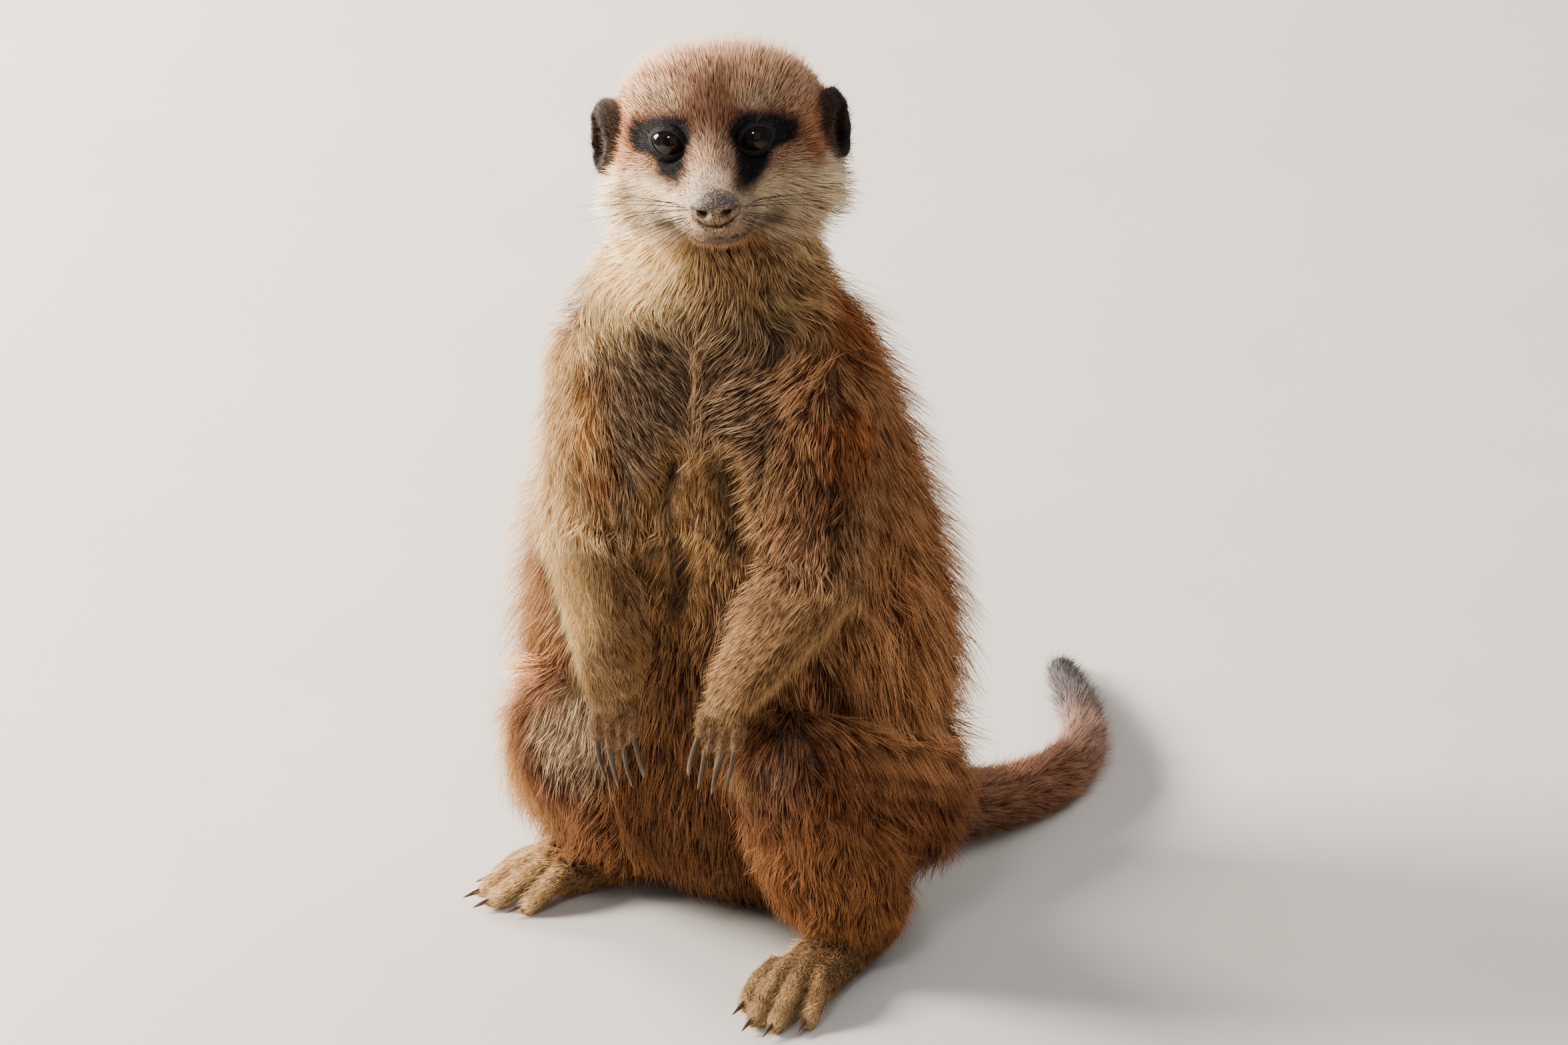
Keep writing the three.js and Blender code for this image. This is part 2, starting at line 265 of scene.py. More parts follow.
@dataclass(frozen=True)
class EyeShape:
    """Opening between the lids, in millimetres, and the ball behind it.

    Attributes:
        radius: Of the ball.
        half_width: Of the opening.
        above: Height of the opening over its middle.
        below: Depth of the opening under its middle.
        tilt: Turn of the outer corner upward, in radians.
        lid: Thickness of the lids.
        ring: Reach of the skin that is blended into the lids.
        dome: Reach of the lids on the ball.
        front: How far ahead of the ball's middle the face's skin may stand.
        back: How far behind the ball's middle the skin still belongs to the eye.
    """

    radius: float = 5.7
    half_width: float = 4.7
    above: float = 3.4
    below: float = 3.2
    tilt: float = 0.38
    lid: float = 0.55
    ring: float = 10.0
    dome: float = 5.15
    front: float = 20.0
    back: float = 9.0

    def opening(self, around: Array) -> Array:
        """Distance from the middle of the opening to its edge, which is pointed at its corners.

        Args:
            around: Angle from the outer corner, positive above it, in radians.
        """
        c, s = np.cos(around - self.tilt), np.sin(around - self.tilt)
        height = np.where(s > 0, self.above, self.below)
        oval_reach = 1.0 / np.sqrt((c / self.half_width) ** 2 + (s / height) ** 2)
        bend = np.maximum(height * (c / self.half_width) ** 2, 1e-4)
        arc_reach = (np.sqrt(s**2 + 4.0 * bend * height) - np.abs(s)) / (2.0 * bend)
        duct = bell(np.abs(around) - math.pi + self.tilt, 0.2) * (s < 0.3)
        return 0.4 * oval_reach + 0.6 * arc_reach + 0.35 * duct * (c < 0)


HEAD = HeadFrame.measure()
EYE = EyeShape()
EYE_SHIFT = (-1.1, 2.0, -1.6)  # of both eyeballs from the middles of the eyes' solids
EYE_INWARD = 1.15  # further, towards the midline
EYES = {
    side: middle(f"eye_{side}") + HEAD.turn(np.array(EYE_SHIFT) - (EYE_INWARD * sign, 0.0, 0.0))
    for side, sign in SIDES.items()
}
NOSE = middle("nose")
NOSE_PAD = NOSE + HEAD.turn((0.0, 2.2, -0.6))  # middle of the bare pad, set into the snout


@dataclass(frozen=True)
class Whorl:
    """Place that the hair grows away from on all sides, so that its dark roots show."""

    centre: Array
    radius: float

    def near(self, points: Array) -> Array:
        """1 at the whorl's middle, falling to 0 round it."""
        return np.exp(-((points - self.centre) ** 2).sum(1) / self.radius**2)


WHORLS = (
    Whorl(within("trunk", 0.69, 0.16, 0.955), 6.0),
    Whorl(within("trunk", 0.62, 0.12, 0.952), 5.0),
    Whorl(within("trunk", 0.74, 0.24, 0.965), 5.0),
    Whorl(within("trunk", 0.40, 0.09, 0.945), 6.0),
    Whorl(within("trunk", 0.81, 0.18, 0.875), 6.0),
)


@dataclass(frozen=True)
class Crease:
    """A short crease in the skin of the belly, seen from the front."""

    top: Array
    foot: Array

    def distance(self, points: Array) -> Array:
        """Distance across the front of the body from the crease's line."""
        place = (points - self.top)[:, [0, 2]]
        run = (self.foot - self.top)[[0, 2]]
        share = np.clip(place @ run / (run @ run), 0.0, 1.0)[:, None]
        return np.linalg.norm(place - share * run, axis=1)


CREASES = (
    Crease(within("trunk", 0.485, 0.05, 0.775), within("trunk", 0.44, 0.03, 0.64)),
    Crease(within("trunk", 0.510, 0.03, 0.665), within("trunk", 0.505, 0.02, 0.56)),
    Crease(within("trunk", 0.605, 0.05, 0.785), within("trunk", 0.635, 0.04, 0.655)),
)


HAIR_LEADS_TO: dict[Region, tuple[str, float]] = {  # solid it runs to, and share of falling
    Region.UPPER_ARM: ("forearm_{}", 0.3),
    Region.FOREARM: ("forepaw_{}", 0.0),
    Region.FOREPAW: ("fore_claw_{}_2", 0.0),
    Region.HIND_FOOT: ("hind_claw_{}_2", 0.0),
}
HAIR_FANS = {Region.THIGH: 0.25, Region.SHANK: 0.12}  # share of running outward


class BodyMap:
    """Tells which solid of flesh a point belongs to, and how hair lies there."""

    def __init__(self) -> None:
        """Reads every solid of flesh once."""
        corners, faces, owners = [], [], []
        start = 0
        for index, name in enumerate(FLESH):
            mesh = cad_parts[name].data
            mesh.calc_loop_triangles()
            triangles = np.array([t.vertices[:] for t in mesh.loop_triangles])
            corners.append(node_points(name))
            faces.append(triangles + start)
            owners.append(np.full(len(triangles), index))
            start += len(corners[-1])
        self.owners = np.concatenate(owners)
        self.tree = BVHTree.FromPolygons(
            np.concatenate(corners).tolist(), np.concatenate(faces).tolist()
        )
        self.regions = [self.region_of(name) for name in FLESH]
        low, high = (np.array(c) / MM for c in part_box("trunk"))
        self.spine = (low + high) / 2
        self.crest = self.spine[0] + 4.0  # where the hair of the chest meets

    @staticmethod
    def region_of(name: str) -> Region:
        """Region that a solid's name starts with, the longest that fits."""
        fitting = [region for region in Region if name.startswith(region.value)]
        return max(fitting, key=lambda region: len(region.value))

    def nearest(self, points: Array) -> Array:
        """Index in FLESH of the solid nearest to each point."""
        hits = [self.tree.find_nearest(Vector(p))[2] for p in points]
        return self.owners[np.array(hits)]

    def is_region(self, owners: Array, *regions: Region) -> Array:
        """True where the owner is one of the regions."""
        table = np.array([region in regions for region in self.regions])
        return table[owners]

    def around(self, points: Array) -> Array:
        """Angle round the spine: 0 at the chest, 3.14 at the back, positive to the left."""
        return np.arctan2(points[:, 0] - self.spine[0], self.spine[1] - points[:, 1])

    def pleats(self, points: Array) -> tuple[Array, Array]:
        """Upright folds of loose skin at the belly, between the arms.

        Returns:
            Values that are 1 on the ridges, and values that are 1 in the creases.
        """
        away = np.full(len(points), 99.0)
        for crease in CREASES:
            away = np.minimum(away, crease.distance(points))
        front = points[:, 1] < self.spine[1]
        ridge = bell(away - 5.2, 2.4)
        return front * ridge, front * bell(away, 1.9)

    def lie(self, points: Array, owners: Array) -> Array:
        """Direction in which the hair runs from each point, before it is laid in the surface."""
        flow = np.zeros_like(points)
        outward = points - self.spine
        outward[:, 2] = 0.0
        outward = unit(outward)
        down = np.array([0.0, 0.0, -1.0])
        for index, name in enumerate(FLESH):
            here = owners == index
            region = self.regions[index]
            side = name.rsplit("_", 1)[-1]
            if region in (Region.HEAD, Region.EAR):
                flow[here] = self.head_lie(points[here])
            elif region is Region.NECK:
                flow[here] = 0.55 * unit(points[here] - NOSE) + 0.6 * down
            elif region is Region.TRUNK:
                flow[here] = self.trunk_lie(points[here], outward[here])
            elif region in HAIR_LEADS_TO:
                ahead, drop = HAIR_LEADS_TO[region]
                flow[here] = unit(middle(ahead.format(side)) - middle(name)) + drop * down
            elif region in HAIR_FANS:
                flow[here] = down + HAIR_FANS[region] * outward[here]
        tail = self.is_region(owners, Region.TAIL)
        flow[tail] = self.tail_lie(points[tail])
        for whorl in WHORLS:
            flow += 2.6 * whorl.near(points)[:, None] * unit(points - whorl.centre)
        return flow

    @staticmethod
    def head_lie(points: Array) -> Array:
        """Hair of the head runs away from the nose, and down at the cheeks."""
        place = HEAD.local(points)
        away = unit(points - NOSE)
        cheek = fade(place[:, 2], -4.0, -16.0) * fade(np.abs(place[:, 0]), 6.0, 16.0)
        fan = np.sign(place[:, :1]) * HEAD.axes[0] * 0.5 - HEAD.axes[2] * 0.35
        return away + cheek[:, None] * fan

    def trunk_lie(self, points: Array, outward: Array) -> Array:
        """Hair of the trunk runs down, meets at the crest of the chest and fans at the hips."""
        around, z = self.around(points), points[:, 2]
        chest = fade(z, 122.0, 152.0) * (1.0 - fade(z, 184.0, 194.0))
        chest = (chest * fade(np.abs(around), 1.3, 0.8))[:, None]
        leftward = np.cross([0.0, 0.0, 1.0], outward)
        beside = np.clip((points[:, 0] - self.crest) / 3.0, -1.0, 1.0)
        inward = -beside[:, None] * leftward
        flow = np.array([0.0, 0.0, -1.0]) * (1.0 - 0.55 * chest) + 0.85 * chest * inward
        sides = (fade(np.abs(around), 0.9, 1.4) * fade(np.abs(around), 2.6, 2.0))[:, None]
        hips = fade(z, 90.0, 30.0)[:, None]
        return flow + (0.25 * hips + 0.15 * sides) * outward

    @staticmethod
    def tail_lie(points: Array) -> Array:
        """Hair of the tail runs from its root to its tip."""
        names = ("tail_base", "tail_middle", "tail_tip")
        middles = [middle(name) for name in names]
        runs = [
            middles[1] - middles[0],
            middles[2] - middles[0],
            middles[2] - middles[1],
        ]
        flow = np.zeros_like(points)
        for place, run in zip(middles, runs):
            near = np.exp(-(((points - place) ** 2).sum(1)) / (2 * 22.0**2))
            flow += near[:, None] * unit(run)
        return flow


# ----------------------------
# Hair of each region


@dataclass(frozen=True)
class Pelt:
    """Hair of one region, in millimetres.

    Attributes:
        length: From the skin to the tip.
        depth: How far the skin lies inside the coat's surface.
        rise: How far the tips stand off the skin.
        width: Of a hair or tuft at its widest.
        density: Hairs for each square millimetre of skin.
        lock: How far hairs draw together at their tips, from 0 to 1.
    """

    length: float
    depth: float
    rise: float
    width: float
    density: float
    lock: float

    def values(self) -> list[float]:
        """The sizes in the order of PELT_FIELDS."""
        return [getattr(self, name) for name in PELT_FIELDS]


PELT_FIELDS = ("length", "depth", "rise", "width", "density", "lock")
LENGTH, DEPTH, RISE, WIDTH, DENSITY, LOCK = range(len(PELT_FIELDS))
PELTS: dict[Region, Pelt] = {
    Region.HEAD: Pelt(4.2, 1.5, 2.4, 0.17, 7.4, 0.12),
    Region.EAR: Pelt(2.6, 0.35, 0.7, 0.14, 8.0, 0.15),
    Region.NECK: Pelt(9.0, 3.2, 3.4, 0.2, 3.9, 0.3),
    Region.TRUNK: Pelt(13.0, 4.6, 5.6, 0.21, 2.06, 0.42),
    Region.UPPER_ARM: Pelt(8.0, 2.9, 3.6, 0.2, 3.1, 0.5),
    Region.FOREARM: Pelt(5.2, 1.5, 2.2, 0.18, 5.0, 0.25),
    Region.FOREPAW: Pelt(3.2, 0.5, 0.9, 0.15, 7.0, 0.2),
    Region.THIGH: Pelt(11.5, 3.9, 5.2, 0.21, 2.3, 0.4),
    Region.SHANK: Pelt(8.6, 2.9, 3.8, 0.2, 2.8, 0.36),
    Region.HIND_FOOT: Pelt(3.4, 0.7, 1.0, 0.16, 6.2, 0.25),
    Region.TAIL: Pelt(5.8, 1.9, 2.5, 0.19, 4.4, 0.25),
}


@dataclass(frozen=True)
class EarHollow:
    """Place beside each ear where the head is narrow enough to leave the ear's front free."""

    centre: tuple[float, float, float] = (27.0, 14.0, -3.0)
    size: tuple[float, float, float] = (9.0, 9.0, 11.0)
    depth: float = 3.2

    def distance(self, x: Array, y: Array, z: Array) -> Array:
        """Distance from the hollow's middle, 1 on its edge."""
        place = np.stack([np.abs(x), y, z], axis=-1)
        return np.linalg.norm((place - self.centre) / self.size, axis=-1)


@dataclass(frozen=True)
class Nape:
    """Flesh that fills the nape: its ends from the neck's and the head's middles, its radius."""

    low: tuple[float, float, float] = (0.0, 13.0, -9.0)
    high: tuple[float, float, float] = (0.0, 24.0, -6.0)
    radius: float = 13.5
    rings: int = 9


EAR_HOLLOW = EarHollow()
NAPE = Nape()


@dataclass(frozen=True)
class CoatMap:
    """Lengths, depth and thickness of the hair at every point of the skin."""

    body: BodyMap

    def values(self, points: Array, owners: Array, graph: "MeshGraph | None" = None) -> Array:
        """One row for each point with the sizes in the order of PELT_FIELDS.

        Args:
            points: Points of the skin.
            owners: Solid that each point belongs to.
            graph: Graph of the skin, if the regions should run into each other.
        """
        table = np.array([PELTS[region].values() for region in self.body.regions])
        rows = table[owners]
        if graph is not None:
            rows = graph.relax(rows, 30)
        head = self.body.is_region(owners, Region.HEAD)
        rows[head] = self.head_rows(rows[head], points[head])
        trunk = self.body.is_region(owners, Region.TRUNK)
        rows[trunk] = self.trunk_rows(rows[trunk], points[trunk])
        shank = self.body.is_region(owners, Region.SHANK)
        ankle = shank * fade(points[:, 2], 26.0, 9.0)
        rows[:, LENGTH] *= 1.0 - 0.6 * ankle
        rows[:, DEPTH] *= 1.0 - 0.7 * ankle
        rows[:, RISE] *= 1.0 - 0.66 * ankle
        rows[:, DENSITY] *= 1.0 + 0.9 * ankle
        rows[:, DEPTH] *= 1.0 - 0.85 * fade(points[:, 2], 5.0, 1.0)
        for spot in SPOTS:
            if spot.shade in (KNEE, KNEE_BARE, KNEE_GOLD):
                worn = spot.share(points, np.zeros(len(points)))
                rows[:, LENGTH] *= 1.0 - 0.45 * worn
                rows[:, RISE] *= 1.0 - 0.6 * worn
                rows[:, LOCK] *= 1.0 - 0.5 * worn
        return rows

    @staticmethod
    def head_rows(rows: Array, points: Array) -> Array:
        """Shortest at the muzzle and round the eyes, longest at the cheeks and nape."""
        x, y, z = HEAD.local(points).T
        from_nose = np.linalg.norm(points - NOSE, axis=1)
        size = 0.24 + 0.76 * fade(from_nose, 5.0, 30.0)
        cheek = fade(z, -5.0, -13.0) * fade(np.abs(x), 12.0, 22.0) * fade(y, -6.0, 4.0)
        nape = fade(y, 22.0, 38.0)
        length = size * (1.0 + 0.85 * cheek + 0.6 * nape)
        for side, sign in SIDES.items():
            out = sign * (x - HEAD.local(EYES[side])[0])
            near = 1.0 - fade(np.hypot(out - 1.0, z + 0.5), 5.5, 10.5)
            length *= 1.0 - 0.62 * near * (y < 8.0)
        crown = fade(z, 8.0, 20.0)
        beside_ear = 1.0 - fade(EAR_HOLLOW.distance(x, y, z), 0.9, 1.5)
        length *= 1.0 - 0.62 * beside_ear
        rows[:, LENGTH] *= length * (1.0 - 0.12 * crown)
        rows[:, DEPTH] *= 0.2 + 0.8 * length
        rows[:, RISE] *= (0.12 + 0.6 * length + 0.3 * length**2) * (1.0 + 0.75 * crown)
        rows[:, WIDTH] *= 0.74 + 0.26 * np.minimum(length, 1.3)
        rows[:, DENSITY] *= np.clip(1.5 - 0.5 * length, 0.7, 1.4)
        return rows

    def trunk_rows(self, rows: Array, points: Array) -> Array:
        """Longest and loosest on the flanks, closer on chest and back."""
        around = np.abs(self.body.around(points))
        flank = fade(around, 0.6, 1.1) * (1.0 - fade(around, 2.1, 2.7))
        high = fade(points[:, 2], 120.0, 185.0)
        low = fade(points[:, 2], 40.0, 10.0)
        rows[:, LENGTH] *= 0.84 + 0.34 * flank - 0.2 * high
        rows[:, DEPTH] *= (0.9 + 0.3 * flank - 0.25 * high) * (1.0 - 0.55 * low)
        rows[:, RISE] *= (0.84 + 0.66 * flank - 0.2 * high) * (1.0 - 0.5 * low)
        rows[:, LOCK] *= 0.66 + 0.34 * flank
        ridge, crease = self.body.pleats(points)
        folded = np.clip(ridge + 1.2 * crease, 0.0, 1.0)
        rows[:, LENGTH] *= 1.0 - 0.5 * folded
        rows[:, RISE] *= 1.0 - 0.55 * folded
        return rows


# ----------------------------
# Markings, with patches of painted light and painted shade


@dataclass(frozen=True)
class Shade:
    """Colour of the hair's lower part and of its tip, as display colours."""

    dark: tuple[int, int, int]
    pale: tuple[int, int, int]

    def pair(self) -> Array:
        """Linear light values, dark first."""
        return np.array([*linear(*self.dark), *linear(*self.pale)])


CROWN = Shade((104, 62, 40), (240, 192, 152))
FOREHEAD = Shade((46, 24, 14), (122, 84, 62))
BROW = Shade((104, 76, 52), (212, 184, 150))
TEMPLE = Shade((100, 53, 28), (196, 132, 88))
BRIDGE = Shade((132, 92, 66), (234, 200, 166))
MUZZLE = Shade((124, 100, 78), (236, 212, 180))
# Painted shade: greyer, darker lower sides of the muzzle.
MUZZLE_SIDE_SHADE = Shade((76, 62, 52), (160, 138, 114))
SANDY = Shade((116, 80, 48), (208, 170, 122))
LIP = Shade((30, 22, 18), (70, 54, 44))
SMUDGE = Shade((46, 38, 30), (116, 100, 80))
CHEEK = Shade((186, 152, 108), (252, 234, 200))
CHIN = Shade((94, 60, 30), (176, 130, 82))
PATCH = Shade((3, 3, 3), (10, 8, 8))
RUST = Shade((64, 36, 24), (140, 88, 58))
EAR_HAIR = Shade((14, 9, 7), (44, 30, 24))
THROAT = Shade((96, 66, 38), (190, 150, 104))
THROAT_LOW = Shade((80, 60, 38), (176, 148, 108))
NECK_HAIR = Shade((120, 78, 42), (234, 190, 134))
# Cream of the neck's ruff; its spots on the animal's right neck, arm and trunk are painted light.
CREAM = Shade((226, 176, 106), (255, 238, 186))
CHEST = Shade((50, 33, 22), (172, 138, 104))
CREST = Shade((84, 54, 32), (204, 162, 116))
PARTING = Shade((30, 20, 14), (100, 78, 60))
BELLY = Shade((46, 24, 11), (130, 87, 50))
FOLD = Shade((124, 80, 38), (230, 178, 108))
FLANK = Shade((92, 46, 20), (222, 160, 108))
BACK = Shade((88, 58, 38), (206, 168, 128))
BAND = Shade((44, 28, 18), (122, 90, 64))
SHOULDER = Shade((80, 45, 24), (206, 158, 112))
# Red-brown; its patches on the left of the neck and the left upper arm are painted shade.
RUSSET = Shade((98, 42, 16), (206, 122, 66))
# Painted light: bright gold laid only on the animal's right thigh and right upper arm.
SUNLIT_GINGER = Shade((190, 124, 62), (252, 214, 150))
EAR_BACK = Shade((54, 34, 25), (116, 84, 66))
# Painted shade: dark patches on the animal's left side and a narrow dark line down the middle of the
# chest.
SHADED = Shade((30, 14, 7), (98, 62, 40))
FOREARM_HAIR = Shade((94, 60, 32), (228, 184, 126))
PAW_HAIR = Shade((74, 48, 27), (186, 144, 98))
# Painted shade: near black laid in the belly's creases and in the clefts between the toes.
CLEFT_SHADE = Shade((18, 12, 8), (44, 32, 22))
THIGH_HAIR = Shade((60, 29, 15), (166, 110, 70))
SHANK_HAIR = Shade((74, 40, 20), (186, 126, 78))
KNEE = Shade((156, 126, 92), (246, 224, 188))
KNEE_BARE = Shade((112, 86, 70), (190, 162, 138))
KNEE_GOLD = Shade((150, 108, 60), (240, 206, 146))
FOOT_HAIR = Shade((66, 41, 22), (226, 178, 118))
TOE_HAIR = Shade((136, 96, 54), (240, 204, 150))
TAIL_HAIR = Shade((98, 60, 42), (204, 150, 116))
TAIL_OUTER = Shade((106, 80, 70), (198, 160, 144))
TAIL_END = Shade((50, 45, 47), (124, 114, 114))


@dataclass(frozen=True)
class Spot:
    """Soft-edged oval of another colour on the body, with its sizes in millimetres; some lay painted
    light or painted shade.
    """

    shade: Shade
    centre: Array
    size: tuple[float, float, float]
    strength: float

    def share(self, points: Array, wander: Array) -> Array:
        """How strongly the spot shows at each point, from 0 to its strength."""
        away = np.linalg.norm((points - self.centre) / self.size, axis=1)
        return self.strength * (1.0 - fade(away + 0.22 * wander, 0.55, 1.3))


SPOTS = (
    # Painted light: cream patches on the right of the neck and on the right upper arm and forearm.
    Spot(CREAM, within("neck", 0.10, 0.20, 0.25), (15.0, 16.0, 19.0), 0.95),
    Spot(CREAM, within("neck", 0.30, 0.14, 0.62), (14.0, 17.0, 15.0), 0.95),
    Spot(CREAM, within("upper_arm_right", 0.0, 0.38, 0.60), (16.0, 20.0, 36.0), 0.8),
    Spot(CREAM, within("forearm_right", 0.12, 0.25, 0.55), (17.0, 22.0, 34.0), 0.9),
    # Painted shade: dull brown on the left forearm.
    Spot(SHOULDER, within("forearm_left", 0.55, 0.30, 0.45), (16.0, 20.0, 24.0), 0.5),
    Spot(SHANK_HAIR, within("hind_foot_right", 0.6, 0.5, 0.5), (22.0, 24.0, 16.0), 0.35),
    # Painted light: cream on the right of the trunk.
    Spot(CREAM, within("trunk", 0.02, 0.40, 0.58), (15.0, 24.0, 44.0), 0.5),
    # Painted light: bright gold on the right thigh.
    Spot(SUNLIT_GINGER, within("thigh_right", 0.0, 0.28, 0.48), (22.0, 40.0, 38.0), 0.85),
    # Painted shade: dark on the left of the neck.
    Spot(SHADED, within("neck", 0.88, 0.30, 0.50), (5.0, 8.0, 5.5), 0.6),
    # Painted shade: darker red-brown on the left of the neck and the left upper arm.
    Spot(RUSSET, within("neck", 0.99, 0.60, 0.10), (9.0, 15.0, 13.0), 0.8),
    Spot(RUSSET, within("upper_arm_left", 0.86, 0.45, 0.86), (9.0, 13.0, 20.0), 0.75),
    # Painted light: bright gold on the right upper arm.
    Spot(SUNLIT_GINGER, within("upper_arm_right", 0.46, 0.16, 0.70), (7.5, 10.0, 14.0), 0.8),
    Spot(RUSSET, within("upper_arm_right", 0.66, 0.10, 0.50), (5.0, 8.0, 9.0), 0.5),
    # Painted shade: dark on the left upper arm, on the left of the trunk and in a narrow line down
    # the middle of the chest.
    Spot(SHADED, within("upper_arm_left", 0.72, 0.24, 0.58), (9.0, 9.0, 12.0), 0.75),
    Spot(SHADED, within("trunk", 0.84, 0.14, 0.47), (10.0, 13.0, 13.0), 0.85),
    Spot(SHADED, within("trunk", 0.77, 0.10, 0.42), (8.0, 9.0, 7.0), 0.7),
    Spot(SHADED, within("trunk", 0.47, 0.02, 0.62), (2.6, 9.0, 10.0), 0.7),
    Spot(KNEE_BARE, within("thigh_left", 0.42, 0.02, 0.92), (7.5, 9.0, 6.5), 0.85),
    Spot(KNEE_GOLD, within("thigh_left", 0.27, 0.02, 0.80), (6.5, 9.0, 7.0), 0.95),
    Spot(KNEE, within("thigh_right", 0.64, 0.05, 0.82), (8.0, 12.0, 12.0), 0.75),
)

REGION_SHADES: dict[Region, Shade] = {
    Region.HEAD: CROWN,
    Region.EAR: EAR_HAIR,
    Region.NECK: NECK_HAIR,
    Region.TRUNK: FLANK,
    Region.UPPER_ARM: SHOULDER,
    Region.FOREARM: FOREARM_HAIR,
    Region.FOREPAW: PAW_HAIR,
    Region.THIGH: THIGH_HAIR,
    Region.SHANK: SHANK_HAIR,
    Region.HIND_FOOT: FOOT_HAIR,
    Region.TAIL: TAIL_HAIR,
}


@dataclass
class Paint:
    """Colour pairs of many points, that shades are laid over one after another."""

    pairs: Array

    def lay(self, share: Array, shade: Shade, where: Array | slice = slice(None)) -> None:
        """Lays a shade over some of the pairs where share is above zero."""
        pairs = self.pairs[where]
        over = np.clip(share, 0.0, 1.0)[:, None] * (shade.pair() - pairs)
        self.pairs[where] = pairs + over


@dataclass(frozen=True)
class Markings:
    """Colours of skin and coat at any point, from the same named zones, painted light and shade
    among them.
    """

    body: BodyMap

    def base(self, owners: Array) -> Array:
        """Colour pair of each point's region."""
        table = np.array([REGION_SHADES[region].pair() for region in self.body.regions])
        return table[owners]

    def body_zones(self, pairs: Array, points: Array, owners: Array) -> Array:
        """Zones of trunk, neck, limbs and tail."""
        paint, around = Paint(pairs), np.abs(self.body.around(points))
        z = points[:, 2]
        wander = ripple(points, 26.0, 3)
        trunk = self.body.is_region(owners, Region.TRUNK)
        neck = self.body.is_region(owners, Region.NECK)
        core = trunk | neck
        chest = 1.0 - fade(around + 0.12 * wander, 0.6, 1.0)
        paint.lay(trunk * chest * fade(z, 80.0, 120.0), CHEST)
        paint.lay(trunk * chest * fade(z, 110.0, 80.0), BELLY)
        paint.lay(trunk * fade(around + 0.1 * wander, 1.9, 2.4), BACK)
        collar = trunk * fade(z + 4.0 * wander, 172.0, 188.0) * fade(around, 0.5, 0.9)
        paint.lay(collar * 0.7, NECK_HAIR)
        width = np.abs(points[:, 0] - self.body.crest) + 1.0 * wander
        front = core * (around < 1.2) * fade(z, 120.0, 150.0)
        paint.lay(front * bell(width - 8.0, 2.6) * 0.8, PARTING)
        paint.lay(front * bell(width, 3.4) * 0.8, CREST)
        stripe = fade(np.sin(z / 13.5 * math.tau + 1.2 * wander), 0.1, 0.8)
        paint.lay(trunk * stripe * fade(around, 2.0, 2.5) * 0.75, BAND)
        front = neck * (1.0 - fade(around + 0.1 * wander, 0.5, 0.85))
        paint.lay(front, CHEST)
        paint.lay(front * fade(z + 2.0 * wander, 186.0, 191.0), THROAT_LOW)
        paint.lay(front * fade(z + 2.0 * wander, 192.0, 200.0), THROAT)
        ruff = neck * fade(z, 196.0, 211.0) * fade(around, 0.5, 0.9) * fade(around, 2.0, 1.5)
        paint.lay(ruff * 0.45, CREAM)
        arm = self.body.is_region(owners, Region.UPPER_ARM)
        paint.lay(arm * fade(z + 5.0 * wander, 122.0, 104.0) * 0.5, FOREARM_HAIR)
        forearm = self.body.is_region(owners, Region.FOREARM)
        paint.lay(forearm * fade(z + 4.0 * wander, 102.0, 124.0) * 0.7, SHOULDER)
        # Besides markings, the spots lay painted light on the animal's right side and painted shade
        # on its left.
        for spot in SPOTS:
            paint.lay(spot.share(points, wander), spot.shade)
        tail = self.body.is_region(owners, Region.TAIL)
        end, near_end = middle("tail_tip"), middle("tail_middle")
        beyond = (points - end) @ unit(end - near_end) + 2.5 * wander
        paint.lay(tail * fade(beyond, -58.0, -26.0), TAIL_OUTER)
        paint.lay(tail * fade(beyond, -24.0, -8.0), TAIL_END)
        return paint.pairs

    def fine_zones(self, pairs: Array, points: Array, owners: Array) -> Array:
        """Small zones that stay sharp: whorls, folds, toes and clefts, ears and face; the creases
        and clefts get painted shade.
        """
        paint, wander = Paint(pairs), ripple(points, 3.4, 8)
        trunk = self.body.is_region(owners, Region.TRUNK)
        ridge, crease = self.body.pleats(points)
        paint.lay(trunk * ridge * 0.7, FOLD)
        # Painted shade in the creases between the folds.
        paint.lay(trunk * crease * 0.95, CLEFT_SHADE)
        for whorl in WHORLS:
            mark = np.clip(whorl.near(points) + 0.1 * wander, 0.0, 1.0) ** 2
            paint.lay(0.8 * mark, PARTING)
        for name, paw in PAWS.items():
            mine = owners == FLESH.index(name)
            ends, between = paw.toe_ends(points[mine]), paw.between(points[mine])
            paint.lay(0.8 * ends, TOE_HAIR if paw.hind else PAW_HAIR, mine)
            # Painted shade in the clefts between the toes.
            paint.lay(0.85 * between, CLEFT_SHADE, mine)
        for side, sign in SIDES.items():
            mine = owners == FLESH.index(f"ear_{side}")
            place = HEAD.local(points[mine]) - HEAD.local(middle(f"ear_{side}"))
            behind = place @ (0.3 * sign, 0.95, 0.0)
            paint.lay(0.9 * fade(behind, 1.5, 0.0), EAR_HAIR, mine)
            paint.lay(fade(behind, 1.5, 4.0), EAR_BACK, mine)
        self.head_zones(paint, points, owners)
        return paint.pairs

